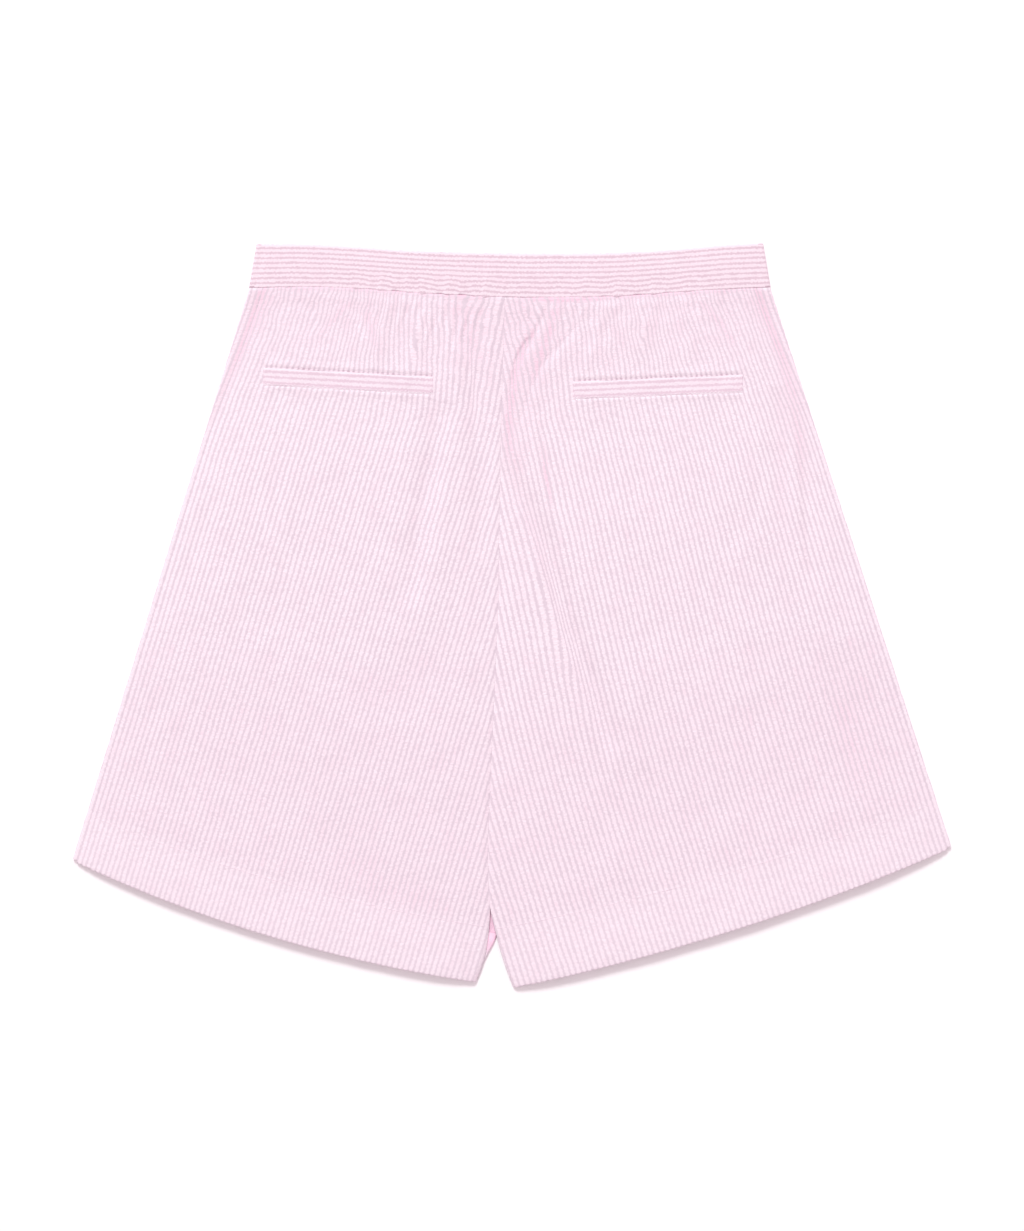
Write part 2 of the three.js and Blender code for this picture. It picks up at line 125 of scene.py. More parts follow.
# %% Sizes of the laid shorts, in mm
CLOTH = 1.2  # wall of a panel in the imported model
SEAM_GAP = 0.3
SEAM_TOUCH = 0.01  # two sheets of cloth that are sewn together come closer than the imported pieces
BACK_TOP = CLOTH + SEAM_GAP + CLOTH  # outer face of the back panels where they lie lowest

BAND_EDGES = [  # x and y at the top, then x and y at the bottom
    (-179, 260.2, -184.4, 229.4),
    (-146, 260.0, -148, 230.0),
    (-112, 258.4, -113, 229.2),
    (-66, 255.4, -67, 226.0),
    (0, 253.8, 0, 222.8),
    (64, 253.9, 64, 223.2),
    (110, 256.2, 111, 226.0),
    (148, 259.4, 150, 228.6),
    (176, 260.8, 181.2, 229.8),
]
SIDE_EDGES = {"left": ((-184.2, 229.0), (-308.1, -171.6)), "right": ((181.0, 229.4), (308.1, -162.6))}
HEM_BOW = {"left": 10.7, "right": 8.4}
CENTRE_SEAM = [
    (-4.9, 222.4),
    (-6.6, 170.0),
    (-8.4, 94.0),
    (-9.8, 10.0),
    (-13.3, -74.0),
    (-16.6, -150.0),
    (-16.9, -172.0),
    (-16.2, -195.0),
]
INSEAMS = {
    "back_left": [(-15.4, -207.0), (-16.8, -226.0), (-19.8, -242.0), (-25.4, -256.8)],
    "front_left": [(-13.4, -207.0), (-10.8, -224.0), (-15.4, -234.0), (-25.8, -255.8)],
    "back_right": [(-15.0, -207.0), (-9.8, -228.0), (-5.0, -244.0), (1.2, -260.8)],
    "front_right": [(-13.0, -207.0), (-7.4, -228.0), (-3.2, -244.0), (2.2, -259.6)],
}
PANEL_LENGTH = 450.0  # down the middle of a leg, from the waist seam to the hem
HEM_TURN = 38.0  # how much of the hem is folded up inside the leg
PARTING = 392.0  # where the legs part, below the waist seam
SIDE_ROLL_WAIST = 10.0  # how far the front panel rolls over the side
SIDE_ROLL_HEM = 3.4
SIDE_ROLL_ENDS = 130.0  # how far down the roll has narrowed
WAIST_CURVE_FADES = 120.0  # how far down the waist seam's bow still bends the rows
FRONT_HEM_INSET = 1.2
print("laid width at the hems in mm:", SIDE_EDGES["right"][1][0] - SIDE_EDGES["left"][1][0])

# %% [markdown]
# A smooth curve through a few points can be made with the Catmull-Rom formula, which NumPy works out for all
# its points at once. Each curve is kept as many short steps with the distance along it, so that any place on
# it is one call to np.interp.

# %% Curves
def smoothstep(value, low, high):
    """0 at low and 1 at high, with a soft start and end."""
    share = np.clip((value - low) / (high - low), 0, 1)
    return share * share * (3 - 2 * share)


def bell(offset, reach):
    """1 where the offset is 0, dying out on both sides over the reach."""
    return np.exp(-((offset / reach) ** 2))


def arch(along):
    """0 at both ends of a line and 1 half-way along."""
    return np.sqrt(np.clip(np.sin(np.pi * along), 0, 1))


def raised(plan, height):
    """Places in plan, with their heights."""
    return np.concatenate([plan, height[..., None]], -1)


def smooth_line(rows, steps=40):
    """Points of a smooth curve through the rows, and the share of its length at each."""
    knots = np.array([rows[0], *rows, rows[-1]], float)
    share = np.linspace(0, 1, steps, endpoint=False)[:, None]
    pieces = []
    for before, start, stop, after in zip(knots, knots[1:], knots[2:], knots[3:]):
        leave = (stop - before) / 2
        arrive = (after - start) / 2
        bend = 3 * (stop - start) - 2 * leave - arrive
        settle = 2 * (start - stop) + leave + arrive
        pieces.append(start + leave * share + bend * share**2 + settle * share**3)
    points = np.vstack([*pieces, knots[-1:]])
    along = np.concatenate([[0], np.cumsum(np.hypot(*np.diff(points, axis=0).T))])
    return points, along / along[-1]


def on_line(line, share):
    points, along = line
    return np.stack([np.interp(share, along, points[:, 0]), np.interp(share, along, points[:, 1])], -1)


band_top = smooth_line([row[:2] for row in BAND_EDGES])
band_bottom = smooth_line([row[2:] for row in BAND_EDGES])
band_length = np.hypot(*np.diff(band_top[0], axis=0).T).sum()


def waist_y(x):
    return np.interp(x, band_bottom[0][:, 0], band_bottom[0][:, 1]) - SEAM_GAP


print("waistband length in mm:", round(band_length, 1))

# %% [markdown]
# A panel is laid out by two numbers: how far down from the waist a point is, and how far across from the
# outside edge. The rows fan out from the curved waist seam to the bowed hem, as the cut cloth does.

# %% Leg panels in plan
class Panel:
    """A leg panel in plan. Shares across it run from 0 at the outside edge to 1 at the inside."""

    def __init__(self, name):
        self.leg = name.split("_")[1]
        inset = FRONT_HEM_INSET if name.startswith("front") else 0.0
        self.reach = 1 - inset / PANEL_LENGTH
        self.waist, self.hem = (np.array(end, float) for end in SIDE_EDGES[self.leg])
        aside = SEAM_TOUCH / 2 * (-1 if self.leg == "left" else 1)
        seam = [(x + aside, y) for x, y in CENTRE_SEAM]
        self.seam = smooth_line(seam)
        self.inseam = smooth_line([seam[-1], *INSEAMS[name]])

    def ends(self, down):
        outside = self.waist + (self.hem - self.waist) * (down / PANEL_LENGTH * self.reach)[..., None]
        on_seam = on_line(self.seam, down / PARTING)
        on_inseam = on_line(self.inseam, (down - PARTING) / (PANEL_LENGTH - PARTING) * self.reach)
        return outside, np.where(down[..., None] > PARTING, on_inseam, on_seam)

    def width(self, down):
        outside, inside = self.ends(down)
        return np.hypot(*np.moveaxis(inside - outside, -1, 0))

    def point(self, share, down):
        down, share = np.broadcast_arrays(down, share)
        above = np.maximum(-down, 0)
        down = np.maximum(down, 0)
        outside, inside = self.ends(down)
        across = inside - outside
        below = np.stack([across[..., 1], -across[..., 0]], -1)
        below *= (-np.sign(below[..., 1]) / np.hypot(across[..., 0], across[..., 1]))[..., None]
        bow = HEM_BOW[self.leg] * (down / PANEL_LENGTH) ** 2 * 4 * share * (1 - share)
        placed = outside + across * share[..., None] + below * bow[..., None]
        waist_outside, waist_inside = self.ends(np.zeros_like(down))
        waist = waist_outside + (waist_inside - waist_outside) * share[..., None]
        settled = np.clip(1 - down / WAIST_CURVE_FADES, 0, 1) ** 2
        placed[..., 1] += (waist_y(waist[..., 0]) - waist[..., 1]) * settled + above
        return placed


def side_roll(down):
    """How far the front panel rolls over the outside edge."""
    return SIDE_ROLL_WAIST + (SIDE_ROLL_HEM - SIDE_ROLL_WAIST) * smoothstep(down, 0, SIDE_ROLL_ENDS)


panels = {name: Panel(name) for name in INSEAMS}
hem_widths = {name: round(float(panel.width(np.array([PANEL_LENGTH]))[0])) for name, panel in panels.items()}
print("hem widths in mm:", hem_widths)

# %% [markdown]
# ## The lie of the back panels
#
# Cloth laid on cloth keeps a little air under it. It stands highest in the middle of a leg and at the hem,
# and it is flat at the seams. Three kinds of form lie on that swell: long folds that run down from the seat,
# short creases that start at the waist seam, and a slight unevenness that no hand can smooth away. A fold is
# a line in plan with a bell-shaped section, and its two flanks may differ, which makes a soft tuck.

# %% Air under the upper layer
AIR = [  # down from the waist seam, rise
    (0, 0.35),
    (9, 0.95),
    (20, 1.6),
    (60, 2.1),
    (150, 2.9),
    (260, 2.2),
    (360, 1.4),
    (410, 2.0),
    (450, 3.3),
]
AIR_EDGE = 18.0  # mm over which the air comes in from a seam
LOWEST_SWELL = -0.35  # the deepest that a fold may sink
LUMPS = [(0.45, 26, 3.7), (0.2, 10, 8.1)]  # height, size across, seed
WAIST_STEP = [(0, 1.25), (20, 0)]  # down, rise of both panels towards the thicker waistband
UNDER_BAND_SINK = 1.1  # how far a panel goes down again inside the waistband
UNDER_BAND_REACH = 1.5  # mm over which it does so
SIDE_CALM = 14.0  # mm beside the side seam over which folds fade out
CENTRE_CALM = 4.5  # the same beside the centre seam
print("most air under the upper layer in mm:", max(rise for _, rise in AIR))

# %% [markdown]
# The long folds are placed one by one. A positive rise is a ridge and a negative one a trough. Three of their
# courses are named, because the cloth that is hidden in those folds follows them too.

# %% Long folds
SEAT_TUCK = [(27, 222), (19, 204), (11.2, 189), (5.5, 180), (1.4, 170), (-2, 155), (-2, 140), (0, 115)]
OUTER_TUCK = [(55, 218), (46, 203), (34, 190), (22, 177), (14, 160), (7, 140), (2, 124)]
LEG_FOLD = [(-3, 106), (2, 94), (21, 49), (37, -8), (53, -49), (70, -98)]

# Width of the outer and inner flank, rise, and the line in plan
FOLDS = {
    "left": [
        (9, 9, 1.0, [(-38, 190), (-44, 120), (-50, 50), (-62, -10)]),
        (8, 8, -2.3, [(-48, 150), (-58, 100), (-66, 50), (-72, 10)]),
        (8, 8, -2.1, [(-33, 225), (-26, 170), (-22, 110), (-22, 40)]),
        (18, 18, -0.8, [(-120, -60), (-80, -50), (-45, -20)]),
        (18, 18, -0.8, [(-135, -150), (-90, -190), (-50, -205)]),
        (3, 5, -0.9, [(-113, 228), (-109, 212), (-104, 194)]),
        (4, 3, 0.8, [(-32, 218), (-28, 196), (-23, 172)]),
        (4, 6, 0.9, [(-86, 222), (-92, 196), (-97, 172)]),
        (5, 4, 0.7, [(-62, 214), (-70, 178), (-76, 150)]),
        (3, 4, 0.8, [(-15, 214), (-17, 180), (-15, 140)]),
        (6, 8, -0.7, [(-212, 90), (-220, 55), (-232, 20)]),
        (7, 6, 0.6, [(-150, 120), (-158, 70), (-170, 20)]),
    ],
    "right": [
        (2.0, 1.5, -1.0, SEAT_TUCK),
        (1.2, 1.0, -1.7, [(12, 195), (8, 189), (4, 182), (1, 174)]),
        (1.2, 1.0, -2.2, [(0, 166), (-1.4, 159), (-4, 152), (-4.5, 144)]),
        (5, 3.2, 0.45, [(32, 221), (24, 204), (16, 189), (7, 170), (3, 155), (4, 138)]),
        (3, 2.5, -0.9, [(0, 150), (-2, 128), (-1, 98), (6, 70)]),
        (8, 4, -4.4, LEG_FOLD),
        (14, 14, 0.8, [(30, 80), (50, 20), (72, -50), (90, -110)]),
        (2.4, 2.0, -0.5, OUTER_TUCK),
        (5, 3.2, 0.35, [(60, 216), (50, 201), (38, 188), (26, 175), (18, 158), (11, 138)]),
        (8, 8, -1.3, [(186, 160), (188, 100), (189, 40)]),
        (9, 4, -2.0, [(196, 175), (204, 120), (208, 50), (212, 20)]),
        (16, 16, -0.8, [(225, -20), (235, -70), (238, -110)]),
        (5, 3, 0.9, [(66, 220), (60, 196), (52, 170)]),
        (4, 5, 0.8, [(90, 222), (92, 200), (90, 176)]),
        (3, 4, 0.7, [(118, 224), (124, 204), (128, 184)]),
        (4, 3, -0.8, [(146, 226), (152, 206), (160, 186)]),
        (3, 3, 0.8, [(14, 140), (16, 110), (24, 70)]),
        (9, 9, -0.6, [(96, 40), (110, -20), (128, -70)]),
    ],
}
print("long folds:", {leg: len(rows) for leg, rows in FOLDS.items()})

# %% [markdown]
# The short creases are too many to place one by one, so they are drawn at random with a fixed seed. That
# gives the same creases at each run.

# %% Short creases at the waist
OUTWARD = {"left": -1, "right": 1}
WAIST_CREASES = 26  # short ones, on each leg, each with its sizes drawn from these ranges in mm
CREASE_PLACES = (8, 150)  # from the centre seam
CREASE_LENGTHS = (8, 26)
CREASE_DRIFTS = (-0.15, 0.35)  # aside, as a share of the length
CREASE_STARTS = (0, 12)  # below the waist seam
CREASE_FLANKS = (1.3, 2.6)
CREASE_RISES = (0.12, 0.36)
rng = np.random.default_rng(11)
for leg, outward in OUTWARD.items():
    for start in rng.uniform(*CREASE_PLACES, WAIST_CREASES):
        reach = rng.uniform(*CREASE_LENGTHS)
        drift = outward * rng.uniform(*CREASE_DRIFTS) * reach
        top = waist_y(outward * start) - rng.uniform(*CREASE_STARTS)
        flanks = rng.uniform(*CREASE_FLANKS, 2)
        rise = rng.choice([-1, 1]) * rng.uniform(*CREASE_RISES)
        line = [(outward * start, top), (outward * start + drift, top - reach)]
        FOLDS[leg].append((*flanks, rise, line))
print("folds and creases:", {leg: len(rows) for leg, rows in FOLDS.items()})

# %% [markdown]
# A fold's height at a point depends on two numbers: how far beside the fold's line the point lies, and how
# far along it. The fold is highest half-way along and dies out at both ends.

# %% Height of folds and unevenness
def beside_line(points, line, outward):
    """Signed distance from a line in plan, positive towards the side seam, and the share along it."""
    corners = np.array(line, float)
    lengths = np.hypot(*np.diff(corners, axis=0).T)
    best = np.full(points.shape[:-1], np.inf)
    signed = np.zeros(points.shape[:-1])
    along = np.zeros(points.shape[:-1])
    for i, (start, stop) in enumerate(zip(corners, corners[1:])):
        way = (stop - start) / lengths[i]
        offset = points - start
        reach = np.clip(offset @ way, 0, lengths[i])
        aside = offset - reach[..., None] * way
        far = np.hypot(aside[..., 0], aside[..., 1])
        side = outward * np.sign(offset[..., 1] * way[0] - offset[..., 0] * way[1])
        nearer = far < best
        best = np.where(nearer, far, best)
        signed = np.where(nearer, far * side, signed)
        along = np.where(nearer, (lengths[:i].sum() + reach) / lengths.sum(), along)
    return signed, along


def long_folds(leg, points):
    """Height that all folds and creases of a leg add, in mm."""
    rise = np.zeros(points.shape[:-1])
    for outer, inner, height, line in FOLDS[leg]:
        signed, along = beside_line(points, line, OUTWARD[leg])
        flank = np.where(signed > 0, outer, inner)
        rise += height * arch(along) * bell(signed, flank)
    return rise


def uneven(points, size, seed):
    """Soft noise from -1 to 1 whose lumps are about size mm across."""
    flat = points.reshape(-1, points.shape[-1])[:, :2] / size
    values = [noise.noise(Vector((x, y, seed))) for x, y in flat]
    return np.array(values).reshape(points.shape[:-1])


print("unevenness at the origin:", uneven(np.zeros((1, 2)), *LUMPS[0][1:]))

# %% [markdown]
# Where the cloth sinks into folds, lies along a seam or under the waistband's edge, it is in shade, and light
# bounced off pink cloth is pink. That shade is painted as a pinker colour along these lines. Each line has a
# width, a strength from 0 to 1 and its course in plan. The lower legs are also made a little pinker.

# %% Painted shade that makes the cloth pinker
# Lines of painted shade in the folds, along the seams and under the waistband's edge
PAINTED_SHADE_LINES = {
    "left": [
        (8, 0.06, [(-46, 170), (-56, 120), (-66, 60), (-74, 10)]),
        (10, 0.08, [(-22, 190), (-24, 100), (-28, 20), (-34, -60)]),
        (9, 0.32, [(-42, 226), (-32, 205), (-26, 175)]),
        (2.5, 0.35, [(-112, 222), (-124, 208), (-136, 196)]),
        (4, 0.25, [(-102, 220), (-98, 198), (-90, 178)]),
        (14, 0.2, [(-120, -60), (-80, -50), (-45, -20)]),
        (14, 0.2, [(-130, -160), (-90, -195), (-40, -205)]),
        (5, 0.4, [(-166, 228), (-176, 212), (-188, 188), (-198, 165)]),
        (1.6, 0.7, [(-183, 229.5), (-120, 229.4), (-60, 225.5), (-5, 222.5)]),
    ],
    "right": [
        (7, 0.25, [(-4, 138), (1, 96), (14, 62), (28, 20)]),
        (9, 0.06, [(16, 60), (37, -8), (53, -49), (72, -104)]),
        (16, 0.25, [(6, 224), (12, 190), (8, 150), (4, 100)]),
        (3.2, 0.65, [(16, 200), (9, 189), (2, 168), (-2, 140), (-2, 108)]),
        (3, 0.5, [(34, 224), (27, 200), (19, 180), (13, 160)]),
        (2.2, 0.7, [(21, 124), (24, 98), (28, 74)]),
        (5, 0.2, [(188, 170), (190, 100), (191, 30)]),
        (5, 0.45, [(164, 226), (181, 203), (189, 182), (198, 147), (203, 122), (205, 90)]),
        (2.5, 0.35, [(130, 222), (146, 205), (160, 186)]),
        (16, 0.2, [(225, -20), (240, -80), (250, -130)]),
        (1.6, 0.7, [(-4, 222.5), (64, 222.8), (110, 225.6), (180, 229.4)]),
        (2.2, 1.0, [(10, 222), (38, 222), (68, 222.4)]),
    ],
}
LOWER_LEG_PINKER = 0.13
LOWER_LEG = (230, 330)  # mm below the waist over which it comes in
HEM_CLEAR = 0.5  # how much less painted shade lies on the doubled hem


# Painted shade: how much pinker each point of a panel is painted, with less on the doubled hem.
def painted_shade_tone(leg, places, down):
    tone = np.zeros(places.shape[:-1]) + LOWER_LEG_PINKER * smoothstep(down, *LOWER_LEG)
    for width, strength, line in PAINTED_SHADE_LINES[leg]:
        signed, along = beside_line(places[..., :2], line, 1)
        tone += strength * arch(along) * bell(signed, width)
    return np.clip(tone, 0, 1) * (1 - HEM_CLEAR * (down > PANEL_LENGTH - HEM_TURN))


print("pinker lines:", {leg: len(rows) for leg, rows in PAINTED_SHADE_LINES.items()})

# %% [markdown]
# The elastic draws each back panel in, and the cloth stands up in gathers. A gather is tallest just below
# the seam and dies out a few centimetres down, no two alike. The table gives each crest's place along the
# waist, its height and its length. Between two crests the cloth sinks a little, and a slow sway keeps the
# crests from looking ruled.

# %% Gathers
GATHERS = {  # x of the crest at the waist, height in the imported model, length
    "left": [
        (-112.0, 0.7, 22),
        (-102.5, 1.0, 34),
        (-92.5, 1.2, 26),
        (-83.5, 1.0, 20),
        (-75.0, 1.4, 30),
        (-66.0, 1.3, 24),
        (-57.5, 1.5, 38),
        (-49.0, 1.2, 22),
        (-41.0, 1.6, 36),
        (-33.0, 1.4, 44),
        (-24.0, 1.5, 30),
        (-14.5, 1.1, 40),
    ],
    "right": [
        (10.0, 1.1, 26),
        (20.5, 1.4, 34),
        (32.0, 1.6, 46),
        (41.0, 1.4, 24),
        (49.0, 1.5, 36),
        (57.5, 1.3, 28),
        (66.5, 1.5, 40),
        (78.5, 1.2, 26),
        (89.0, 1.3, 22),
        (98.0, 0.9, 30),
        (107.5, 1.0, 20),
        (117.5, 0.8, 26),
        (136.0, 0.6, 24),
    ],
}
GATHER_GAIN = 0.62
GATHER_SINK = 0.25  # how far the cloth between two gathers sinks, as a share of their height
GATHER_SWAY = 0.012  # as a share of the panel's width
GATHER_SWAY_GROWS = 24.0  # mm down over which the sway sets in
GATHER_FADE = 1.5  # power of a gather's fading with depth
HELD_BY_SEAM = 14.0  # mm over which the stitches hold the gathers down
HELD_SHARE = 0.15  # what is left of a gather at the seam


def crest_columns(leg):
    """Each crest's place across the panel, from 0 at the side seam to 1 at the centre, with its sizes."""
    panel = panels["back_" + leg]
    top = np.zeros(1)
    side_x = panel.point((side_roll(top) + SEAM_TOUCH) / panel.width(top), top)[0, 0]
    centre_x = panel.point(np.ones(1), top)[0, 0]
    rows = [((x - side_x) / (centre_x - side_x), rise, length) for x, rise, length in GATHERS[leg]]
    return np.array(sorted(rows))


def gathers(leg, column, down):
    """Height that the gathers add, in mm."""
    places, rises, lengths = crest_columns(leg).T
    depth = np.maximum(down, 0)
    sway = np.sin(depth / 9 + 21 * column) + 0.7 * np.sin(depth / 5.3 + 47 * column)
    column = column + GATHER_SWAY * sway * smoothstep(depth, 0, GATHER_SWAY_GROWS)
    half = (places[1:] - places[:-1]) / 2
    ends = [places[0] - half[0], places[-1] + half[-1]]
    knots = np.sort(np.concatenate([places, places[:-1] + half, ends]))
    phase = np.interp(column, knots, np.arange(len(knots)) / 2)
    crest = 0.5 - 0.5 * np.cos(2 * np.pi * phase)
    around = np.concatenate([[0], places, [1]])
    tall = np.zeros(np.broadcast_shapes(column.shape, depth.shape))
    for i, (rise, length) in enumerate(zip(rises, lengths)):
        tent = np.interp(column, around[i : i + 3], [0, 1, 0])
        tall += tent * rise * np.exp(-((depth / length) ** GATHER_FADE))
    held = HELD_SHARE + (1 - HELD_SHARE) * smoothstep(down, 0, HELD_BY_SEAM)
    return GATHER_GAIN * held * tall * (crest * (1 + GATHER_SINK) - GATHER_SINK)


print("gathers:", {leg: len(rows) for leg, rows in GATHERS.items()})

# %% [markdown]
# A welt pocket lets its panel bulge a little above the open mouth. The relief is worked out in the welt's
# own frame: along its lower edge, and up from it. Under the welt the panel gives way by the welt's thickness,
# so that the welt lies flush.

# %% Relief round the pockets
WELT_WIDTH, WELT_HEIGHT = 119.0, 12.2
WELTS = {"left": ((-174.2, 161.2), -0.054), "right": ((42.7, 151.4), 0.04)}  # lower left corner and slope
MOUTH_ABOVE, MOUTH_DEPTH, MOUTH_REACH = 0.8, 0.5, 0.7  # the groove above the welt
LIP_ABOVE, LIP_RISE, LIP_REACH = 3.4, 0.3, 2.2
UNDER_BELOW, UNDER_RISE = 0.9, 0.45  # the cloth under the welt's lower seam stands up a little
UNDER_STEEP, UNDER_GENTLE = 0.6, 3.2  # its flanks, towards the welt and away from it
WELT_BED, WELT_BED_EDGE = 0.6, 1.4  # how far the panel gives way, and over what distance


def welt_frame(leg, points):
    """Distance along and up from the welt's lower left corner, in mm."""
    (x, y), slope = WELTS[leg]
    along = points[..., 0] - x
    return along, points[..., 1] - y - slope * along


def pocket_relief(leg, points):
    along, up = welt_frame(leg, points)
    within = smoothstep(along, -2, 3) * smoothstep(WELT_WIDTH - along, -2, 3)
    above = up - WELT_HEIGHT
    groove = -MOUTH_DEPTH * bell(above - MOUTH_ABOVE, MOUTH_REACH)
    lip = LIP_RISE * bell(above - LIP_ABOVE, LIP_REACH)
    below = up + UNDER_BELOW
    under = UNDER_RISE * bell(below, np.where(below > 0, UNDER_STEEP, UNDER_GENTLE))
    return within * (groove + lip + under)


def welt_bed(leg, points):
    along, up = welt_frame(leg, points)
    inside = np.minimum(np.minimum(along, WELT_WIDTH - along), np.minimum(up, WELT_HEIGHT - up))
    return WELT_BED * smoothstep(inside, 0, WELT_BED_EDGE)


print("welt corners in mm, and slopes:", WELTS)

# %% [markdown]
# The back panel's outer face is the sum of all these. The side seam lies in a shallow valley that fades down
# the leg, with a finer line in it near the waist. The centre seam hardly dips until the legs part, and the
# pressed seam allowances under the left panel raise a soft ridge beside it. The same function places the
# panel, the welts and the hem stitches, so they stay together.

# %% The back panel's outer face
SIDE_VALLEY = [(0, 0.1), (14, 0.3), (70, 0.35), (150, 0.05), (450, 0.02)]  # down, depth
SIDE_VALLEY_WIDTH = 3.2
SIDE_LINE = [(0, 0.05), (12, 0.15), (30, 0.1), (50, 0.02), (450, 0.0)]
SIDE_LINE_WIDTH = 0.7
CENTRE_DIP = [(0, 0.1), (395, 0.15), (420, 0.8), (450, 0.9)]
CENTRE_DIP_WIDTH = 0.8
ALLOWANCE_RISE = 0.45  # the ridge that the pressed seam allowances raise
ALLOWANCE_PLACE, ALLOWANCE_WIDTH = 3.6, 2.2  # mm from the centre seam, and its half width


def eased(rows, at):
    """A value that eases from row to row of a table of places and values."""
    rows = np.array(rows, float)
    i = np.clip(np.searchsorted(rows[:, 0], at, side="right") - 1, 0, len(rows) - 2)
    share = smoothstep(at, rows[i, 0], rows[i + 1, 0])
    return rows[i, 1] + (rows[i + 1, 1] - rows[i, 1]) * share


def side_dip(down, from_seam):
    valley = eased(SIDE_VALLEY, down) * bell(from_seam, SIDE_VALLEY_WIDTH)
    return valley + eased(SIDE_LINE, down) * bell(from_seam, SIDE_LINE_WIDTH)


def back_face(leg, column, down):
    """Places in mm on the back panel, for shares across it and distances below the waist seam."""
    column, down = np.broadcast_arrays(np.asarray(column, float), np.asarray(down, float))
    panel = panels["back_" + leg]
    on = np.maximum(down, 0)
    width = panel.width(on)
    seam = (side_roll(on) + SEAM_TOUCH) / width
    plan = panel.point(seam + (1 - seam) * column, down)
    from_side = column * width * (1 - seam)
    from_centre = (1 - column) * width * (1 - seam)
    nearest = np.minimum(from_side, from_centre)
    calm = smoothstep(from_side, 0, SIDE_CALM) * smoothstep(from_centre, 0, CENTRE_CALM)
    crown = 1 - np.exp(-nearest / AIR_EDGE)
    lumps = sum(height * uneven(plan, size, seed) for height, size, seed in LUMPS)
    swell = eased(AIR, on) * crown + (long_folds(leg, plan) + lumps) * calm
    height = BACK_TOP + eased(WAIST_STEP, on) + np.maximum(swell, LOWEST_SWELL)
    height = height + gathers(leg, column, down)
    height += pocket_relief(leg, plan) - UNDER_BAND_SINK * smoothstep(-down, 0, UNDER_BAND_REACH)
    if leg == "left":
        height += ALLOWANCE_RISE * bell(from_centre - ALLOWANCE_PLACE, ALLOWANCE_WIDTH)
    centre_dip = eased(CENTRE_DIP, on) * bell(from_centre, CENTRE_DIP_WIDTH)
    height -= side_dip(on, from_side) + centre_dip
    return raised(plan, height)


middle = {leg: round(float(back_face(leg, [0.5], [200.0])[0, 2]), 2) for leg in OUTWARD}
print("height of the cloth in the middle of each leg, in mm:", middle)

# %% [markdown]
# ## Cloth coordinates
#
# The stripes are woven in, so they follow the cloth and not the table. Each point of a sheet therefore gets
# a place on the flat cloth: how far across the stripes it lies, and how far along them. Down the legs the
# stripes run with the straight outside edge. Under the waistband the gathers hold more cloth than they
# show, so the stripes crowd together and turn upright. These are the amounts of that extra cloth.

# %% Extra cloth
EASE = {"left": 24.0, "right": 15.0}  # mm of extra cloth at the waist of each back panel
EASE_STARTS, EASE_ENDS = -20.0, 90.0
SIDE_LEAN_ENDS = 70.0  # mm from the side over which the rolled strip's width is taken off
RIGHT_FAN = 24.0  # the right leg's stripes spread over its whole length
RIGHT_FAN_ENDS = 380.0
RIGHT_SPREAD = 0.945  # the right leg's cloth lies a little stretched
SMOOTHING = 51  # columns
WAVERS = [  # mm at the waist, mm down over which it fades, mm left, size across, seed
    (1.9, 60, 0.4, 17, 5.2),
    (2.0, 40, 0.0, 8, 2.8),
]
TUCK_REACH = 14.0  # mm beside a tuck over which the stripes come back to their course
TUCKS = {  # half the width of the tuck, the cloth hidden in it, and its line in plan
    "left": [
        (2, 2.5, [(-90, 222), (-95, 196), (-100, 172)]),
        (3, 3.0, [(-34, 222), (-30, 190), (-26, 150), (-26, 120)]),
        (3, -2.5, [(-62, 222), (-68, 190), (-76, 150)]),
    ],
    "right": [
        (2.5, 2.4, SEAT_TUCK),
        (2.5, 1.2, OUTER_TUCK),
        (5, 6.0, LEG_FOLD),
        (2, -2.5, [(90, 223), (92, 200), (90, 170)]),
    ],
}
print("extra cloth at the waist in mm:", EASE)

# %% [markdown]
# The extra cloth is added both as a smooth total and gather by gather, from the length of the surface itself.

# %% Where each point lies on the flat cloth
def smoothed(rows, count):
    padded = np.pad(rows, ((0, 0), (count // 2, count // 2)), mode="edge")
    kernel = np.ones(count) / count
    return np.array([np.convolve(row, kernel, mode="valid") for row in padded])


def length_across(places):
    """Distance along each row of a sheet, from its first column."""
    steps = np.linalg.norm(np.diff(places, axis=1), axis=2)
    return np.pad(np.cumsum(steps, axis=1), ((0, 0), (1, 0)))


def cloth_points(across, along):
    return np.stack(np.broadcast_arrays(across, along), -1)


def back_cloth(leg, column, down, places):
    """Millimetres across and along the stripes for each point of a back panel."""
    waist, hem = (np.array(end) for end in SIDE_EDGES[leg])
    grain = (hem - waist) / np.hypot(*(hem - waist))
    offset = places[..., :2] - waist
    across = np.abs(offset[..., 0] * grain[1] - offset[..., 1] * grain[0])
    depth = np.maximum(down, 0)
    across -= side_roll(depth) * np.exp(-across / SIDE_LEAN_ENDS)
    if leg == "right":
        across *= RIGHT_SPREAD
    share = smoothstep(column, 0.25, 0.65) * (1 - 0.5 * smoothstep(column, 0.72, 1))
    across += EASE[leg] * share * (1 - smoothstep(depth, EASE_STARTS, EASE_ENDS))
    if leg == "right":
        across += RIGHT_FAN * column**0.7 * (1 - smoothstep(depth, 0, RIGHT_FAN_ENDS))
    extra = length_across(places) - length_across(places[..., :2])
    across += extra - smoothed(extra, SMOOTHING)
    wave = 0
    for most, fades, left, size, seed in WAVERS:
        wave = wave + (most * np.exp(-depth / fades) + left) * uneven(places, size, seed)
    across += wave * smoothstep(np.minimum(column, 1 - column), 0, 0.05)
    for half_width, hidden, line in TUCKS[leg]:
        signed, share = beside_line(places[..., :2], line, OUTWARD[leg])
        fade = np.exp(np.minimum(signed + half_width, 0) / TUCK_REACH)
        beyond = smoothstep(-signed, -half_width, half_width) * fade
        across += hidden * beyond * np.sin(np.pi * share) ** 2
    return cloth_points(across, PANEL_LENGTH - down)


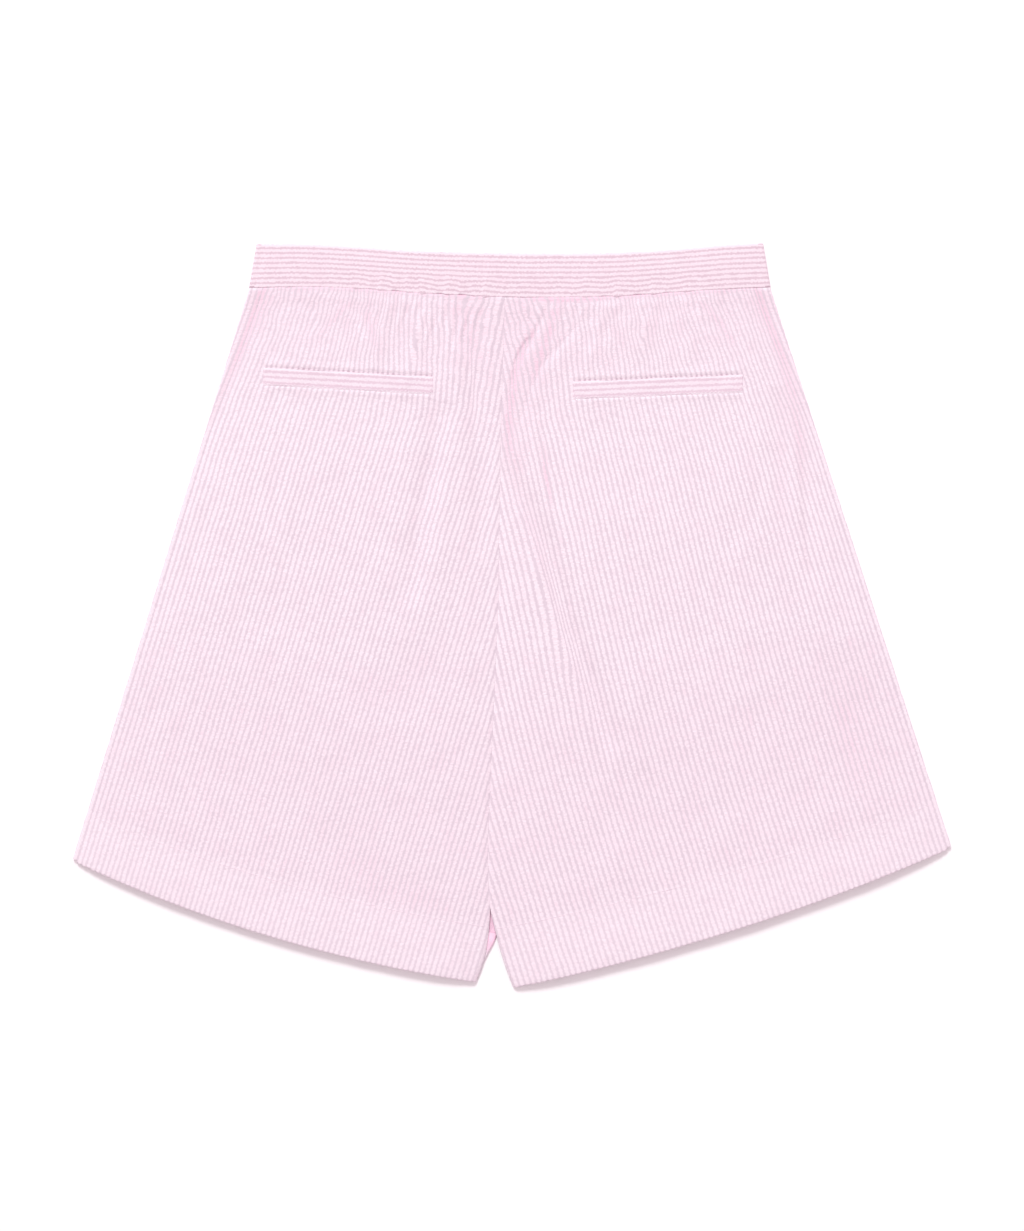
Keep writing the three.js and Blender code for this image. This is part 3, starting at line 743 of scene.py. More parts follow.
corners = back_face("left", np.array([[0.0, 1.0]]), np.array([[0.0], [PANEL_LENGTH]]))
print("laid width of the left back at waist and hem in mm:", length_across(corners)[:, -1].round())

# %% [markdown]
# ## From a grid to a piece of cloth
#
# Every piece starts as Blender's own flat grid of rows and columns. A shape function then says where each
# row and column goes. The grid keeps the faces tidy and gives each of its points a place on the cloth. The
# Solidify modifier gives the sheet its real thickness, inwards from the outer face.

# %% Sheet builder
CLOTH_THICKNESS = 0.45


def piece_of(name, mesh, node=None):
    piece = bpy.data.objects.new(name, mesh)
    bpy.context.collection.objects.link(piece)
    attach(piece, "root")
    if node:
        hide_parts(node)
    return piece


def sheet_mesh(name, places, cloth, mirrored, tone=None):
    """A grid of cloth. Rows run down and columns across, and cloth holds each point's place on it in mm."""
    rows, columns = places.shape[0] - 1, places.shape[1] - 1
    form = bmesh.new()
    bmesh.ops.create_grid(form, x_segments=columns, y_segments=rows, size=0.5)
    if mirrored:
        bmesh.ops.reverse_faces(form, faces=form.faces)
    for face in form.faces:
        face.smooth = True
    mesh = bpy.data.meshes.new(name)
    form.to_mesh(mesh)
    form.free()
    flat = np.empty(3 * len(mesh.vertices))
    mesh.vertices.foreach_get("co", flat)
    column = np.rint((flat[0::3] + 0.5) * columns).astype(int)
    row = np.rint((0.5 - flat[1::3]) * rows).astype(int)
    mesh.vertices.foreach_set("co", (places[row, column] * MM).ravel())
    corner = np.empty(len(mesh.loops), int)
    mesh.loops.foreach_get("vertex_index", corner)
    layers = {"cloth": cloth * MM}
    if tone is not None:
        layers["tone"] = cloth_points(tone, np.zeros_like(tone))
    for layer, values in layers.items():
        mesh.uv_layers.new(name=layer).data.foreach_set("uv", values[row, column][corner].ravel())
    mesh.update()
    return mesh


def sheet_piece(
    name, places, cloth, material, node=None,
    thick=CLOTH_THICKNESS, mirrored=False, tone=None,
):
    """A whole sheet: its face, its material, and a wall of cloth inwards from the outer face."""
    mesh = sheet_mesh(name, places, cloth, mirrored, tone)
    mesh.materials.append(material)
    piece = piece_of(name, mesh, node)
    if thick:
        wall = piece.modifiers.new("wall", "SOLIDIFY")
        wall.thickness = thick * MM
        wall.offset = -1
    print(name, "faces:", len(mesh.polygons), "highest mm:", round(places[..., 2].max(), 2))
    return piece


print("cloth is", CLOTH_THICKNESS, "mm thick")

# %% [markdown]
# A hem is the cloth itself, folded up inside the leg. The path down a panel goes on round the fold and back
# up the inner layer. For any distance along the path, this gives how far below the waist it is and how deep
# it lies inside the outer face.

# %% The turned-up hem
HEM_FOLD = 0.55  # radius of the fold
HEM_STEP = 6.4  # mm between the rows of the inner layer
EDGE_STEPS = np.array([0, 0.08, 0.5, 1.1, 1.9, 3.0, 4.6])  # mm from an edge of a panel
EDGE_BAND = 6.2  # mm, where the even columns begin


def turned(path):
    """Distance below the waist, and depth inside the outer face, for distances along the cloth."""
    start = PANEL_LENGTH - HEM_FOLD
    angle = np.clip((path - start) / HEM_FOLD, 0, np.pi)
    back = np.maximum(path - start - np.pi * HEM_FOLD, 0)
    return np.minimum(path, start) + HEM_FOLD * np.sin(angle) - back, HEM_FOLD * (1 - np.cos(angle))


def hem_path():
    start = PANEL_LENGTH - HEM_FOLD
    fold = start + np.linspace(0, np.pi * HEM_FOLD, 7)
    return np.concatenate([fold, fold[-1] + np.arange(HEM_STEP, HEM_TURN, HEM_STEP)])


def clustered(count, width):
    """Shares from 0 to 1 that lie close together near both ends, so that a seam's edge shades crisply."""
    near = EDGE_STEPS / width
    middle = np.linspace(EDGE_BAND / width, 1 - EDGE_BAND / width, count)
    return np.concatenate([near, middle, 1 - near[::-1]])


print("rows in a turned-up hem:", len(hem_path()))

# %% [markdown]
# ## Seersucker
#
# Seersucker is a cotton woven with some warp threads slack. The slack stripes pucker into small ripples while
# the tight ones stay flat, and here each pucker is pale and each flat stripe is pink. The colours are pale,
# so most of the character comes from tiny shadows: a bump of ripples in the pale stripes and a fine weave
# over everything. The stripe's edges wander a little, as the puckers pull them.
#
# Shader maths reads best as plain sums, so a small class wraps a socket and lets Python's operators add the
# Math nodes.

# %% Shader maths as expressions
class Signal:
    def __init__(self, socket):
        self.socket = socket

    def with_math(self, operation, *values):
        tree = self.socket.id_data
        return add_node(tree, "ShaderNodeMath", {"operation": operation}, dict(enumerate(values)))

    def __add__(self, other):
        return self.with_math("ADD", self, other)

    def __radd__(self, other):
        return self.with_math("ADD", other, self)

    def __sub__(self, other):
        return self.with_math("SUBTRACT", self, other)

    def __rsub__(self, other):
        return self.with_math("SUBTRACT", other, self)

    def __mul__(self, other):
        return self.with_math("MULTIPLY", self, other)

    def __rmul__(self, other):
        return self.with_math("MULTIPLY", other, self)

    def __truediv__(self, other):
        return self.with_math("DIVIDE", self, other)

    def does(self, operation, *others):
        return self.with_math(operation, self, *others)

    def smooth(self, low, high):
        """0 below low and 1 above high, with a soft step between them."""
        settings = {"interpolation_type": "SMOOTHSTEP"}
        values = {"Value": self, "From Min": low, "From Max": high}
        return add_node(self.socket.id_data, "ShaderNodeMapRange", settings, values)


def add_node(tree, kind, settings=None, values=None, output=0):
    """The one place that makes nodes. Settings come first, then the values or links of the sockets."""
    node = tree.nodes.new(kind)
    for name, value in (settings or {}).items():
        setattr(node, name, value)
    for name, value in (values or {}).items():
        if isinstance(value, Signal):
            tree.links.new(value.socket, node.inputs[name])
        else:
            node.inputs[name].default_value = value
    return Signal(node.outputs[output])


def new_material(name, roughness):
    material = bpy.data.materials.new(name)
    material.use_nodes = True
    shader = material.node_tree.nodes["Principled BSDF"]
    shader.inputs["Roughness"].default_value = roughness
    return material, material.node_tree, shader


def mix_colour(tree, share, first, second):
    """The first colour where share is 0, the second where it is 1."""
    settings = {"data_type": "RGBA"}
    return add_node(tree, "ShaderNodeMix", settings, {0: share, 6: first, 7: second}, output=2)


def srgb(*levels):
    """A colour read in 0 to 255, as a picture stores it, turned to the light it stands for."""
    share = np.array(levels) / 255
    linear = np.where(share <= 0.04045, share / 12.92, ((share + 0.055) / 1.055) ** 2.4)
    return (*linear.tolist(), 1.0)


print("a mid grey of 128 is this much light:", round(srgb(128, 128, 128)[0], 3))

# %% [markdown]
# One function makes the cloth in all its cuts. A ping-pong of the distance across the stripes gives the
# lanes. Noise that reads the same cloth coordinates makes their edges wander, takes small bites out of them,
# and varies their strength, so that no two stripes are alike. Over the pale ground lies a pinker tone: random
# mottling on every cut, and on the panels painted shade in the folds, under the waistband and along the side
# seam. In the gap between the legs a deeper pink is painted for the shade and pink bounced light there.

# %% The cloth
PALE = srgb(243, 228.5, 237)
PINK = srgb(221, 204, 215)
MOTTLE_AND_SHADE_PINK = srgb(239, 205, 221)
BAND_PALE = srgb(241, 224, 233)
BAND_PINK = srgb(219, 194, 206)
WELT_PALE = srgb(239, 225, 234)
WELT_PINK = srgb(224, 200, 213)
# Deeper pink painted in the crevice between the legs, for its shade and pink bounced light
PAINTED_CREVICE_SHADE = srgb(255, 204, 229)
CLOTH_ROUGHNESS = 0.88
CLOTH_SHEEN = 0.08
TABLE_ROUGHNESS = 0.9
TABLE_COLOUR = (1, 0.97, 0.98, 1)
PANEL_PITCH = 3.8  # mm from stripe to stripe
BAND_PITCH = 3.5
WELT_PITCH = 3.9
STRIPE_SHARE = 0.42  # of the pitch
STRIPE_SOFTNESS = 0.2
WANDER = 0.8  # mm, how far a stripe strays
NIBBLE = 2.5  # mm, how far the puckers bite into it
PUCKER_HEIGHT = 0.4  # mm
WEAVE_PITCH = 0.42  # mm
WEAVE_HEIGHT = 0.01  # mm
PAINTED_CREVICE_PLACE = (-14.2, -216.0)  # mm, centre of the pink shade painted in the gap between the legs
PAINTED_CREVICE_REACH = 24.0


def first_two(tree, vector):
    """The first and second number of a vector."""
    first = add_node(tree, "ShaderNodeSeparateXYZ", {}, {0: vector})
    return first, Signal(first.socket.node.outputs[1])


def cloth_place(tree):
    """Millimetres across and along the stripes."""
    u, v = first_two(tree, add_node(tree, "ShaderNodeUVMap", {"uv_map": "cloth"}))
    return u * PER_METRE, v * PER_METRE


def patch(tree, u, v, size_u, size_v, seed, detail=2.0):
    """Noise from 0 to 1, with lumps of the given size in mm across and along the stripes."""
    place = add_node(tree, "ShaderNodeCombineXYZ", {}, {0: u / size_u, 1: v / size_v, 2: seed})
    values = {"Vector": place, "Scale": 1.0, "Detail": detail}
    return add_node(tree, "ShaderNodeTexNoise", {"noise_dimensions": "3D"}, values)


def painted_shade_between_legs(tree):
    """Where shade is painted: 1 in the gap where the legs part, fading out over a short distance."""
    x, y = first_two(tree, add_node(tree, "ShaderNodeTexCoord", output="Object"))
    x = x * PER_METRE - PAINTED_CREVICE_PLACE[0]
    y = y * PER_METRE - PAINTED_CREVICE_PLACE[1]
    return 1 - (x * x + y * y).does("SQRT").smooth(PAINTED_CREVICE_REACH * 0.6, PAINTED_CREVICE_REACH)


def seersucker(name, pitch, pale, pink, shift=0.0, panel=False, crevice_shade=False):
    material, tree, shader = new_material(name, CLOTH_ROUGHNESS)
    u, v = cloth_place(tree)
    wander = (patch(tree, u, v, 16, 24, 1.3) - 0.5) * WANDER
    nibble = (patch(tree, u, v, 1.9, 1.5, 4.1) - 0.5) * NIBBLE
    lane = ((u + wander + nibble + shift) / pitch).does("PINGPONG", 0.5) * 2
    stripe = 1 - lane.smooth(STRIPE_SHARE - STRIPE_SOFTNESS, STRIPE_SHARE + STRIPE_SOFTNESS)
    strength = 0.72 + 0.56 * patch(tree, u, v, 5, 7, 7.7)
    # Random pinker mottling of the cloth, to which the panels add painted shade below.
    mottle_and_painted_shade = patch(tree, u, v, 12, 19, 2.9).smooth(0.42, 0.75) * 0.16
    mottle_and_painted_shade = mottle_and_painted_shade + patch(tree, u, v, 4.5, 6.5, 7.7).smooth(0.5, 0.8) * 0.2
    if panel:
        tone, _ = first_two(tree, add_node(tree, "ShaderNodeUVMap", {"uv_map": "tone"}))
        # Painted shade: the gathers below the waist and the side seam near the top are painted pinker,
        waist = v.smooth(PANEL_LENGTH - 90, PANEL_LENGTH - 10) * (0.1 + 0.6 * patch(tree, u, v, 9, 20, 6.4))
        seam = (1 - u.smooth(1, 8)) * v.smooth(PANEL_LENGTH - 130, PANEL_LENGTH - 30)
        # and the tone layer adds the painted shade lines of the folds and seams.
        mottle_and_painted_shade = mottle_and_painted_shade + waist * 0.55 + tone * (0.7 + 0.6 * patch(tree, u, v, 4, 7, 3.3))
        mottle_and_painted_shade = mottle_and_painted_shade.does("MAXIMUM", seam * (0.4 + 0.8 * patch(tree, u, v, 6, 12, 8.8)))
    # The pinker colour is partly random mottling and partly painted shade.
    ground = mix_colour(tree, mottle_and_painted_shade, pale, MOTTLE_AND_SHADE_PINK)
    colour = mix_colour(tree, stripe * strength, ground, pink)
    if panel:
        doubled = (1 - v.smooth(HEM_TURN - 0.5, HEM_TURN + 0.5)) * 0.15
        colour = mix_colour(tree, doubled, colour, PALE)
    # Painted shade and pink bounced light in the crevice between the legs.
    if crevice_shade:
        colour = mix_colour(tree, painted_shade_between_legs(tree) * 0.7, colour, PAINTED_CREVICE_SHADE)
    pucker = (patch(tree, u, v, 2.8, 1.5, 9.4, 1.0) - 0.5) * (1 - stripe * 0.75) * PUCKER_HEIGHT
    turn = 2 * np.pi / WEAVE_PITCH
    weave = (u * turn).does("SINE") * (v * turn).does("SINE") * WEAVE_HEIGHT
    relief = (pucker + weave) * MM
    bump = add_node(tree, "ShaderNodeBump", {}, {"Strength": 1.0, "Distance": 1.0, "Height": relief})
    tree.links.new(colour.socket, shader.inputs["Base Color"])
    tree.links.new(bump.socket, shader.inputs["Normal"])
    shader.inputs["Sheen Weight"].default_value = CLOTH_SHEEN
    return material


panel_cloth = seersucker("seersucker lengthwise back", PANEL_PITCH, PALE, PINK, panel=True)
# The front panels carry the painted shade in the crevice between the legs.
front_cloth = seersucker("seersucker lengthwise front", PANEL_PITCH, PALE, PINK, panel=True, crevice_shade=True)
band_cloth = seersucker("seersucker crosswise band", BAND_PITCH, BAND_PALE, BAND_PINK)
welt_cloth = seersucker("seersucker crosswise welt", WELT_PITCH, WELT_PALE, WELT_PINK, shift=WELT_PITCH / 2)

table_material, _, table_shader = new_material("white table", TABLE_ROUGHNESS)
table_shader.inputs["Base Color"].default_value = TABLE_COLOUR
table_mesh.materials.append(table_material)
print("materials:", [material.name for material in bpy.data.materials])

# %% [markdown]
# ## Back panels
#
# The rows lie closest where the forms are finest: near the waist, and across the pocket. They start a little
# above the waist seam, inside the folded waistband, as the real panel's edge does.

# %% Back panels
UNDER_BAND = 3.0  # how far a back panel reaches up into the waistband
POCKET_FROM, POCKET_TO = 53, 84  # distance below the waist of the stretch that holds the pockets
ROW_STEP, POCKET_ROW_STEP = 1.3, 1.1
LAST_STRETCH = 8  # mm above the hem
HEM_SCALLOP = 0.25  # how far the puckered stripes push the hem out
HEM_SCALLOP_STARTS = 7  # mm above the hem
WAIST_WIDTH = 175.0  # of a back panel, which sets how close to its edges the columns crowd
back_rows = np.concatenate(
    [
        np.linspace(-UNDER_BAND, 0, 3, endpoint=False),
        np.arange(0, POCKET_FROM, ROW_STEP),
        np.arange(POCKET_FROM, POCKET_TO, POCKET_ROW_STEP),
        np.linspace(POCKET_TO, PANEL_LENGTH - LAST_STRETCH, 60, endpoint=False),
        np.linspace(PANEL_LENGTH - LAST_STRETCH, PANEL_LENGTH - HEM_FOLD, 5, endpoint=False),
        hem_path(),
    ]
)[:, None]
back_columns = clustered(290, WAIST_WIDTH)[None, :]

for leg in ("left", "right"):
    down, depth = turned(back_rows)
    places = back_face(leg, back_columns, down)
    places[..., 2] -= depth + welt_bed(leg, places)
    cloth = back_cloth(leg, back_columns, down, places)
    scallop = -np.cos(2 * np.pi * cloth[..., 0] / PANEL_PITCH)
    at_hem = smoothstep(down, PANEL_LENGTH - HEM_SCALLOP_STARTS, PANEL_LENGTH - HEM_FOLD)
    places[..., 1] -= HEM_SCALLOP * scallop * at_hem
    # The tone layer carries the painted shade of the folds, the seams and the waistband's edge.
    sheet_piece(
        "back_panel_" + leg,
        places,
        cloth,
        panel_cloth,
        "back_" + leg,
        mirrored=leg == "right",
        tone=painted_shade_tone(leg, places, down),
    )

# %% [markdown]
# ## Front panels
#
# A front panel lies face down. It rolls round the outside edge of the leg and ends in the side seam, so a
# narrow strip of it shows from above. Its section is a straight lip, a half circle and a straight bed. The
# inner layer of its hem lies inside that section, so each point also carries the way inwards.

# %% Front panels
ROLL_RADIUS = CLOTH + SEAM_GAP / 2
LIP_SHARES = np.array([0, 0.012, 0.08, 0.18, 0.3, 0.44, 0.58, 0.72, 0.87])  # close together at the seam
BED_END = 1 - 1 / 280  # one more column close to the far edge


def rolled(lip, length, radius, arc_steps, bed_steps):
    """Distance from the edge, height, and the inward way, for sections that roll over their first edge."""
    angle = np.linspace(0, np.pi, arc_steps, endpoint=False)
    bed_share = np.concatenate([np.linspace(0, 1, bed_steps, endpoint=False), [BED_END, 1]])
    flat = np.zeros(len(LIP_SHARES))
    bed = np.zeros(len(bed_share))
    arc = np.broadcast_to(radius * (1 - np.sin(angle)), (len(lip), len(angle)))
    distance = np.hstack([lip + (radius - lip) * LIP_SHARES, arc, radius + (length - radius) * bed_share])
    height = np.concatenate([flat + 2 * radius, radius * (1 + np.cos(angle)), bed])
    inward = np.concatenate([flat, np.sin(angle), bed])
    upward = np.concatenate([flat - 1, -np.cos(angle), bed + 1])
    return distance, height, inward, upward


EDGE_WAVE = 0.35  # how far the puckers push the outside edge in and out
EDGE_WAVE_SIZE = 4.5
EDGE_WAVE_REACH = 1.6  # mm in from the edge
NOISE_APART = 50.0  # mm in the noise between the left leg's wave and the right one's
front_rows = np.linspace(SEAM_TOUCH - SEAM_GAP, PANEL_LENGTH - HEM_FOLD, 180, endpoint=False)
front_rows = np.concatenate([front_rows, hem_path()])[:, None]

for leg in ("left", "right"):
    panel = panels["front_" + leg]
    down, depth = turned(front_rows)
    down = np.minimum(down, PANEL_LENGTH)
    width = panel.width(down)
    lip = side_roll(down)
    distance, height, inward, upward = rolled(lip, width, ROLL_RADIUS, 10, 52)
    line = np.full_like(down, NOISE_APART if leg == "left" else 0.0)
    wave = EDGE_WAVE * uneven(np.stack([down, line], -1), EDGE_WAVE_SIZE, 6.2)
    edge = distance + inward * depth + wave * bell(distance, EDGE_WAVE_REACH)
    plan = panel.point(edge / width, down)
    rise = eased(WAIST_STEP, down) * np.clip(height / ROLL_RADIUS - 1, 0, 1)
    height = height + rise - side_dip(down, lip - distance) * (height > ROLL_RADIUS) + upward * depth
    places = raised(plan, height)
    cloth = cloth_points(length_across(places), PANEL_LENGTH - down)
    sheet_piece(
        "front_panel_" + leg,
        places,
        cloth,
        front_cloth,
        "front_" + leg,
        mirrored=leg == "left",
        tone=np.zeros(places.shape[:2]),
    )

# %% [markdown]
# ## Waistband
#
# The waistband is cut across the cloth, so its stripes run round the waist. The back half is folded over a
# wide elastic. Its section goes along the hidden underside, over the fold at the top, down the outer face and
# round the lower edge. The elastic makes shallow ripples across it, at uneven steps, and where they are
# strongest the stripes and the lower edge jog a little.

# %% Back half of the waistband
BAND_FRONT_WALL, BAND_BACK_WALL = 1.6, 2.2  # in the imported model
BAND_LIP = 3.6  # how far the front half rolls over each end
BAND_HEIGHT = 30.6
BAND_FLOOR = BAND_FRONT_WALL + SEAM_GAP
BAND_EDGE_ROUND = 0.5  # mm in plan over which the lower edge turns down
BAND_KINK = 6.0  # how much steeper each ripple is on its left
BAND_END_FALL = 0.273  # share of its height that the back half loses at its ends, to meet the front half
BAND_FALL_REACH, BAND_CALM_REACH = 4.0, 5.0  # mm from an end over which it falls, and the ripples set in
BAND_PUFF = 0.3  # how much the elastic fills the band out in its middle
BAND_LUMPS = (0.12, 12, 6.6)  # height, size across, seed
RIPPLE_REACH, JOG_REACH = 4.4, 6.5  # mm aside of a ripple
EDGE_JOG, STRIPE_JOG = 0.9, 1.5  # how far a jog of 1 moves the lower edge and the stripes, in mm
BAND_RIPPLES = [  # x of the ripple, its rise and the jog that it gives the stripes
    (-158, 0.15, 0.1),
    (-141, 0.25, -0.2),
    (-127, 0.2, 0.3),
    (-112, 0.45, 0.7),
    (-101, 0.35, -0.5),
    (-92, 0.5, 0.9),
    (-84, 0.55, -0.8),
    (-73, 0.4, 0.5),
    (-64, 0.6, 1.1),
    (-54, 0.45, -0.7),
    (-46, 0.5, 0.6),
    (-37, 0.6, -0.9),
    (-27, 0.4, 0.5),
    (-18, 0.55, 0.9),
    (-6, 0.25, -0.3),
    (6, 0.2, 0.2),
    (19, 0.3, -0.3),
    (30, 0.25, 0.3),
    (42, 0.35, -0.4),
    (51, 0.5, 0.7),
    (62, 0.4, -0.6),
    (73, 0.55, 0.9),
    (85, 0.45, -0.6),
    (97, 0.5, 0.7),
    (108, 0.4, -0.6),
    (121, 0.45, 0.5),
    (133, 0.25, -0.3),
    (150, 0.2, 0.3),
]


def band_place(along, share):
    top, bottom = on_line(band_top, along), on_line(band_bottom, along)
    return top + (bottom - top) * share[..., None]


def band_waves(x, share):
    """The ripples' rise and jog on the band's outer face."""
    rise = np.zeros(np.broadcast_shapes(x.shape, share.shape))
    jog = np.zeros_like(rise)
    for i, (place, height, step) in enumerate(BAND_RIPPLES):
        lean = 2.5 * np.sin(2.3 * i) * (share - 0.5) + 0.8 * np.sin(5 * share + i)
        offset = x - place - lean
        offset = np.where(offset < 0, offset * BAND_KINK, offset)
        reach = 0.35 + 0.65 * smoothstep(share, -0.1 + 0.5 * abs(np.sin(1.7 * i)), 1)
        rise += height * reach * bell(offset, RIPPLE_REACH)
        jog += step * smoothstep(share, 0.4, 0.9) * bell(offset, JOG_REACH)
    return rise, jog


print("ripples in the waistband:", len(BAND_RIPPLES))

# %% [markdown]
# The section is worked out once, as shares of the band's height. Four stretches follow each other: under the
# elastic, over the fold at the top, down the outer face, and round the lower edge.

# %% Section of the back half
radius = BAND_BACK_WALL / 2
fold_share = radius / BAND_HEIGHT
angle = np.linspace(0, np.pi, 9)[1:-1]
curl = np.linspace(0, np.pi * 0.75, 7)[1:]
under = np.linspace(0.985, fold_share, 9)
edge_share = BAND_EDGE_ROUND / BAND_HEIGHT
outer = np.linspace(fold_share, 1 - edge_share, 40)
over_fold = fold_share * (1 - np.sin(angle))
round_edge = 1 - edge_share * (1 - np.sin(curl))
shares = np.concatenate([under, over_fold, outer, round_edge])[:, None]
low, high = np.zeros_like(under), np.full_like(outer, 2 * radius)
lift = np.concatenate([low, radius * (1 - np.cos(angle)), high, radius * (1 + np.cos(curl))])[:, None]
turning = 0.5 - 0.5 * np.cos(angle)
on_outer = np.concatenate([low, turning, np.ones_like(outer), np.ones_like(curl)])[:, None]
print("points round the section:", len(shares))

# %% Back half of the waistband, sheet
column = clustered(386, band_length)[None, :]
start = (BAND_LIP + SEAM_TOUCH) / band_length
along = np.broadcast_to(start + (1 - 2 * start) * column, (len(shares), column.shape[1]))
plan = band_place(along, shares)
rise, jog = band_waves(plan[..., 0], shares)
from_end = np.minimum(column, 1 - column) * band_length
ends = 1 - bell(from_end, BAND_CALM_REACH)
lump_height, lump_size, lump_seed = BAND_LUMPS
puff = BAND_PUFF * np.sin(np.pi * np.clip(shares, 0, 1)) + lump_height * uneven(plan, lump_size, lump_seed)
fall = 1 - BAND_END_FALL * bell(from_end, BAND_FALL_REACH)
height = BAND_FLOOR + lift * fall + on_outer * (rise + puff) * ends
plan[..., 1] -= on_outer * EDGE_JOG * jog * smoothstep(shares, 0.6, 1)
places = raised(plan, height)
path = np.concatenate([[0], np.cumsum(np.hypot(np.diff(shares[:, 0]) * BAND_HEIGHT, np.diff(lift[:, 0])))])
path -= path[len(under) + len(angle) // 2]
across = path[:, None] + STRIPE_JOG * jog
cloth = cloth_points(across, along * band_length)
band_back = sheet_piece("waistband_back_cloth", places, cloth, band_cloth, "waistband_back")

# %% [markdown]
# The front half is flat. It lies under the back half and rolls over at both ends, where the two halves are
# sewn together, so only its two narrow lips show from above. Its stripes carry on those of the back half.

# %% Front half of the waistband
BAND_FRONT_THICKNESS = 1.3  # the folded strip as one sheet
radius = BAND_FRONT_WALL + SEAM_GAP / 2
share = np.linspace(0, 1, 16)[:, None]
lip = np.full_like(share, BAND_LIP)
distance, height, inward, upward = rolled(lip, np.full_like(share, band_length / 2), radius, 10, 30)
distance = np.hstack([distance, band_length - distance[:, -2::-1]])
height = np.broadcast_to(np.concatenate([height, height[-2::-1]]), distance.shape)
plan = band_place(distance / band_length, np.broadcast_to(share, distance.shape))
places = raised(plan, height)
on_outside = np.arange(len(under), len(path))
matched = np.interp(share, shares[on_outside, 0], path[on_outside])
cloth = cloth_points(matched, length_across(places))
band_front = sheet_piece(
    "waistband_front_cloth",
    places,
    cloth,
    band_cloth,
    "waistband_front",
    thick=BAND_FRONT_THICKNESS,
    mirrored=True,
)

# %% [markdown]
# ## Welts
#
# Each welt is a narrow folded strip, cut across the cloth and sewn down at its ends and its lower edge. Its
# points lie on the back panel: a place in plan is turned into the panel's own column and distance by
# repeated correction, and the welt stands a little above what it finds there.

# %% Welts
WELT_LIFT = 0.05
WELT_PUFF = 0.28
WELT_ROUND = 1.6  # mm over which the welt's edges round off
WELT_SOFTNESS, WELT_SOFTNESS_SIZE = 0.12, 7
WELT_WAVER = 0.25  # how far its edges stray
WELT_MIDDLE = 6.0  # mm up, where its upper half begins
WELT_EDGE = np.array([0, 0.15, 0.4, 0.8, 1.3])  # mm from an edge, for the columns and rows near it
WELT_SHIFT = 0.35  # mm that its stripes are moved down
LOCATE_ROUNDS = 40


def locate(leg, plan):
    """Column and distance below the waist of points in plan."""
    panel = panels["back_" + leg]
    column = np.full(plan.shape[:-1], 0.5)
    down = np.full(plan.shape[:-1], 60.0)
    for _ in range(LOCATE_ROUNDS):
        width = panel.width(down)
        seam = (side_roll(down) + SEAM_TOUCH) / width
        here = panel.point(seam + (1 - seam) * column, down)
        column = column - OUTWARD[leg] * (plan[..., 0] - here[..., 0]) / width
        down = down - 0.9 * (plan[..., 1] - here[..., 1])
    return column, down


def on_back(leg, plan, lift):
    """Places a little above the back panel's outer face."""
    column, down = locate(leg, plan)
    return raised(plan, back_face(leg, column, down)[..., 2] + lift)


def welt_plan(leg, along, up):
    (x, y), slope = WELTS[leg]
    return np.stack([x + along, y + slope * along + up], -1)


for leg in ("left", "right"):
    middle = np.linspace(2.4, WELT_WIDTH - 2.4, 92)
    along = np.concatenate([WELT_EDGE, middle, WELT_WIDTH - WELT_EDGE[::-1]])
    middle = np.linspace(WELT_HEIGHT - 2, 2, 13)
    up = np.concatenate([WELT_HEIGHT - WELT_EDGE, middle, WELT_EDGE[::-1]])
    along, up = np.meshgrid(along, up)
    inside = np.minimum(np.minimum(along, WELT_WIDTH - along), np.minimum(up / 1.4, WELT_HEIGHT - up))
    round_off = np.sqrt(1 - (1 - np.clip(inside / WELT_ROUND, 0, 1)) ** 2)
    plan = welt_plan(leg, along, up)
    soft = WELT_SOFTNESS * uneven(plan, WELT_SOFTNESS_SIZE, 1.1 if leg == "left" else 4.4)
    plan[..., 1] += WELT_WAVER * np.sin(along / 9 + (up > WELT_MIDDLE)) * (1 - round_off)
    places = on_back(leg, plan, WELT_LIFT + (WELT_PUFF + soft) * round_off)
    cloth = cloth_points(WELT_HEIGHT - up - WELT_SHIFT, along)
    sheet_piece("welt_cloth_" + leg, places, cloth, welt_cloth, "welt_" + leg)

# %% [markdown]
# Above each welt the pocket is open. In that narrow mouth the panel's edge throws a thin shadow, which is
# deeper where a pink stripe crosses it. That shadow is painted on a ribbon laid in the groove, and its shader
# repeats the panel's stripes as dashes of painted shadow.

# %% Pocket mouths
MOUTH_WIDTH = 0.9
MOUTH_LIFT = 0.12
# The painted shadow's pale ground and its dark dashes
MOUTH_SHADOW_PALE = srgb(242, 224, 234)
MOUTH_SHADOW_DARK = srgb(208, 182, 196)


def painted_mouth_shadow_material():
    material, tree, shader = new_material("pocket mouth painted shadow", 0.95)
    u, v = cloth_place(tree)
    nibble = (patch(tree, u, v, 3, 3, 4.1) - 0.5) * 1.4
    lane = ((u + nibble) / PANEL_PITCH).does("PINGPONG", 0.5) * 2
    shadow_dash = (1 - lane.smooth(0.3, 0.62)) * (0.6 + 0.6 * patch(tree, u, v, 9, 9, 2.2))
    colour = mix_colour(tree, shadow_dash, MOUTH_SHADOW_PALE, MOUTH_SHADOW_DARK)
    tree.links.new(colour.socket, shader.inputs["Base Color"])
    return material


painted_mouth_shadow = painted_mouth_shadow_material()
for leg in ("left", "right"):
    along = np.linspace(1.0, WELT_WIDTH - 1.0, 118)
    up = WELT_HEIGHT + MOUTH_ABOVE + np.linspace(MOUTH_WIDTH / 2, -MOUTH_WIDTH / 2, 5)
    plan = welt_plan(leg, *np.meshgrid(along, up))
    places = on_back(leg, plan, MOUTH_LIFT)
    cloth = back_cloth(leg, *locate(leg, plan), places)
    sheet_piece("pocket_mouth_painted_shadow_" + leg, places, cloth, painted_mouth_shadow, thick=0)

